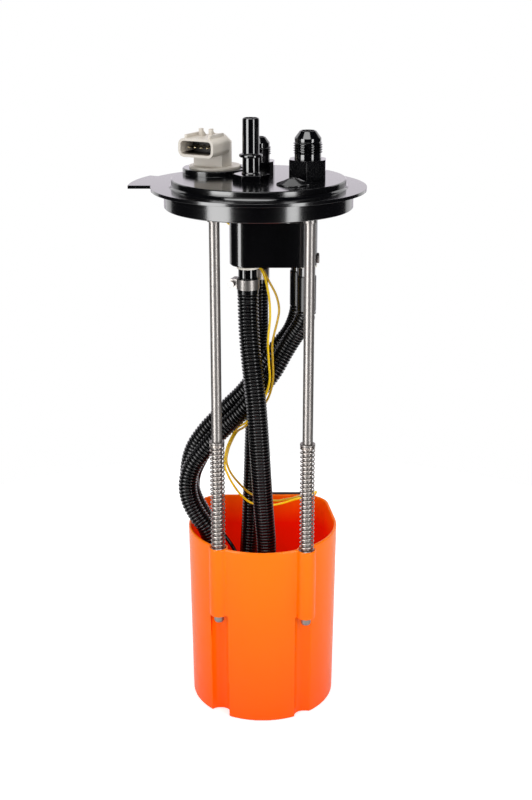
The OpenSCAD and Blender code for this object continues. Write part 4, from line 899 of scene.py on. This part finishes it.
# the room: white for the camera, an even fill for matt light, and a dark room with a pale wall
# behind the object for reflections
white = (1, 1, 1, 1)
roomSet = {"seen": 1, "fill": 0.54, "glossy": 1.35,
           "tones": [(0.0, (0.006, 0.006, 0.007)), (0.85, (0.015, 0.015, 0.017)), (0.93, (0.16, 0.15, 0.17)),
                     (0.985, (0.95, 0.90, 0.97))]}
world = bpy.data.worlds.new("studioRoom")
scene.world = world
world.use_nodes = True
world.cycles.sampling_method = "NONE"  # an even room needs no sampling of its own
tree = world.node_tree
for node in list(tree.nodes):
    tree.nodes.remove(node)
output = tree.nodes.new("ShaderNodeOutputWorld")
seen = tree.nodes.new("ShaderNodeBackground")
seen.inputs["Color"].default_value = white
seen.inputs["Strength"].default_value = roomSet["seen"]
fill = tree.nodes.new("ShaderNodeBackground")
fill.inputs["Color"].default_value = white
fill.inputs["Strength"].default_value = roomSet["fill"]
room = tree.nodes.new("ShaderNodeBackground")
place = tree.nodes.new("ShaderNodeTexCoord")
parts = tree.nodes.new("ShaderNodeSeparateXYZ")
link(tree, place.outputs["Generated"], parts.inputs[0])
wall = mathNode(tree, "MULTIPLY_ADD", parts.outputs[1], 0.5, 0.5)
link(tree, colourRamp(tree, wall, roomSet["tones"]), room.inputs["Color"])
room.inputs["Strength"].default_value = roomSet["glossy"]
link(tree, pathSplit(tree, seen.outputs[0], room.outputs[0], fill.outputs[0]), output.inputs[0])


softboxAim = (0, 0, -0.15)


def softbox(name, azimuth, elevation, distance, width, height, strength, seenBy="both"):
    # azimuth is counted from the camera's side towards the right of the picture, in degrees
    lamp = bpy.data.lights.new(name, "AREA")
    lamp.shape = "RECTANGLE"
    lamp.size = width
    lamp.size_y = height
    lamp.energy = strength * width * height * math.pi
    obj = bpy.data.objects.new(name, lamp)
    a, e = math.radians(azimuth), math.radians(elevation)
    way = Vector((math.sin(a) * math.cos(e), -math.cos(a) * math.cos(e), math.sin(e)))
    obj.location = Vector(softboxAim) + distance * way
    obj.rotation_euler = (-way).to_track_quat("-Z", "Y").to_euler()
    obj.visible_camera = False
    obj.visible_glossy = seenBy != "matt"
    obj.visible_diffuse = seenBy != "gloss"
    scene.collection.objects.link(obj)


softbox("keyGloss", 40.5, 0, 1.5, 0.40, 2.2, 5.6, "gloss")
softbox("keyMatt", 34, 0, 1.5, 0.40, 2.2, 3.5, "matt")
softbox("fillGloss", -47.5, 0, 1.5, 0.78, 2.2, 5.9, "gloss")
softbox("fillMatt", -40, 0, 1.5, 0.70, 2.2, 1.8, "matt")
softbox("topMatt", 0, 72, 1.2, 1.2, 1.2, 1.5, "matt")
softbox("topGloss", -18, 60, 1.2, 0.9, 0.7, 3.2, "gloss")
softbox("ceilingGloss", 180, 64, 1.4, 1.2, 0.8, 1.0, "gloss")
softbox("backLeft", -140, 12, 1.6, 0.7, 1.6, 1.2)
softbox("backRight", 140, 12, 1.6, 0.7, 1.6, 1.2)
scene.view_settings.view_transform = "Standard"
print("stage and lights set")
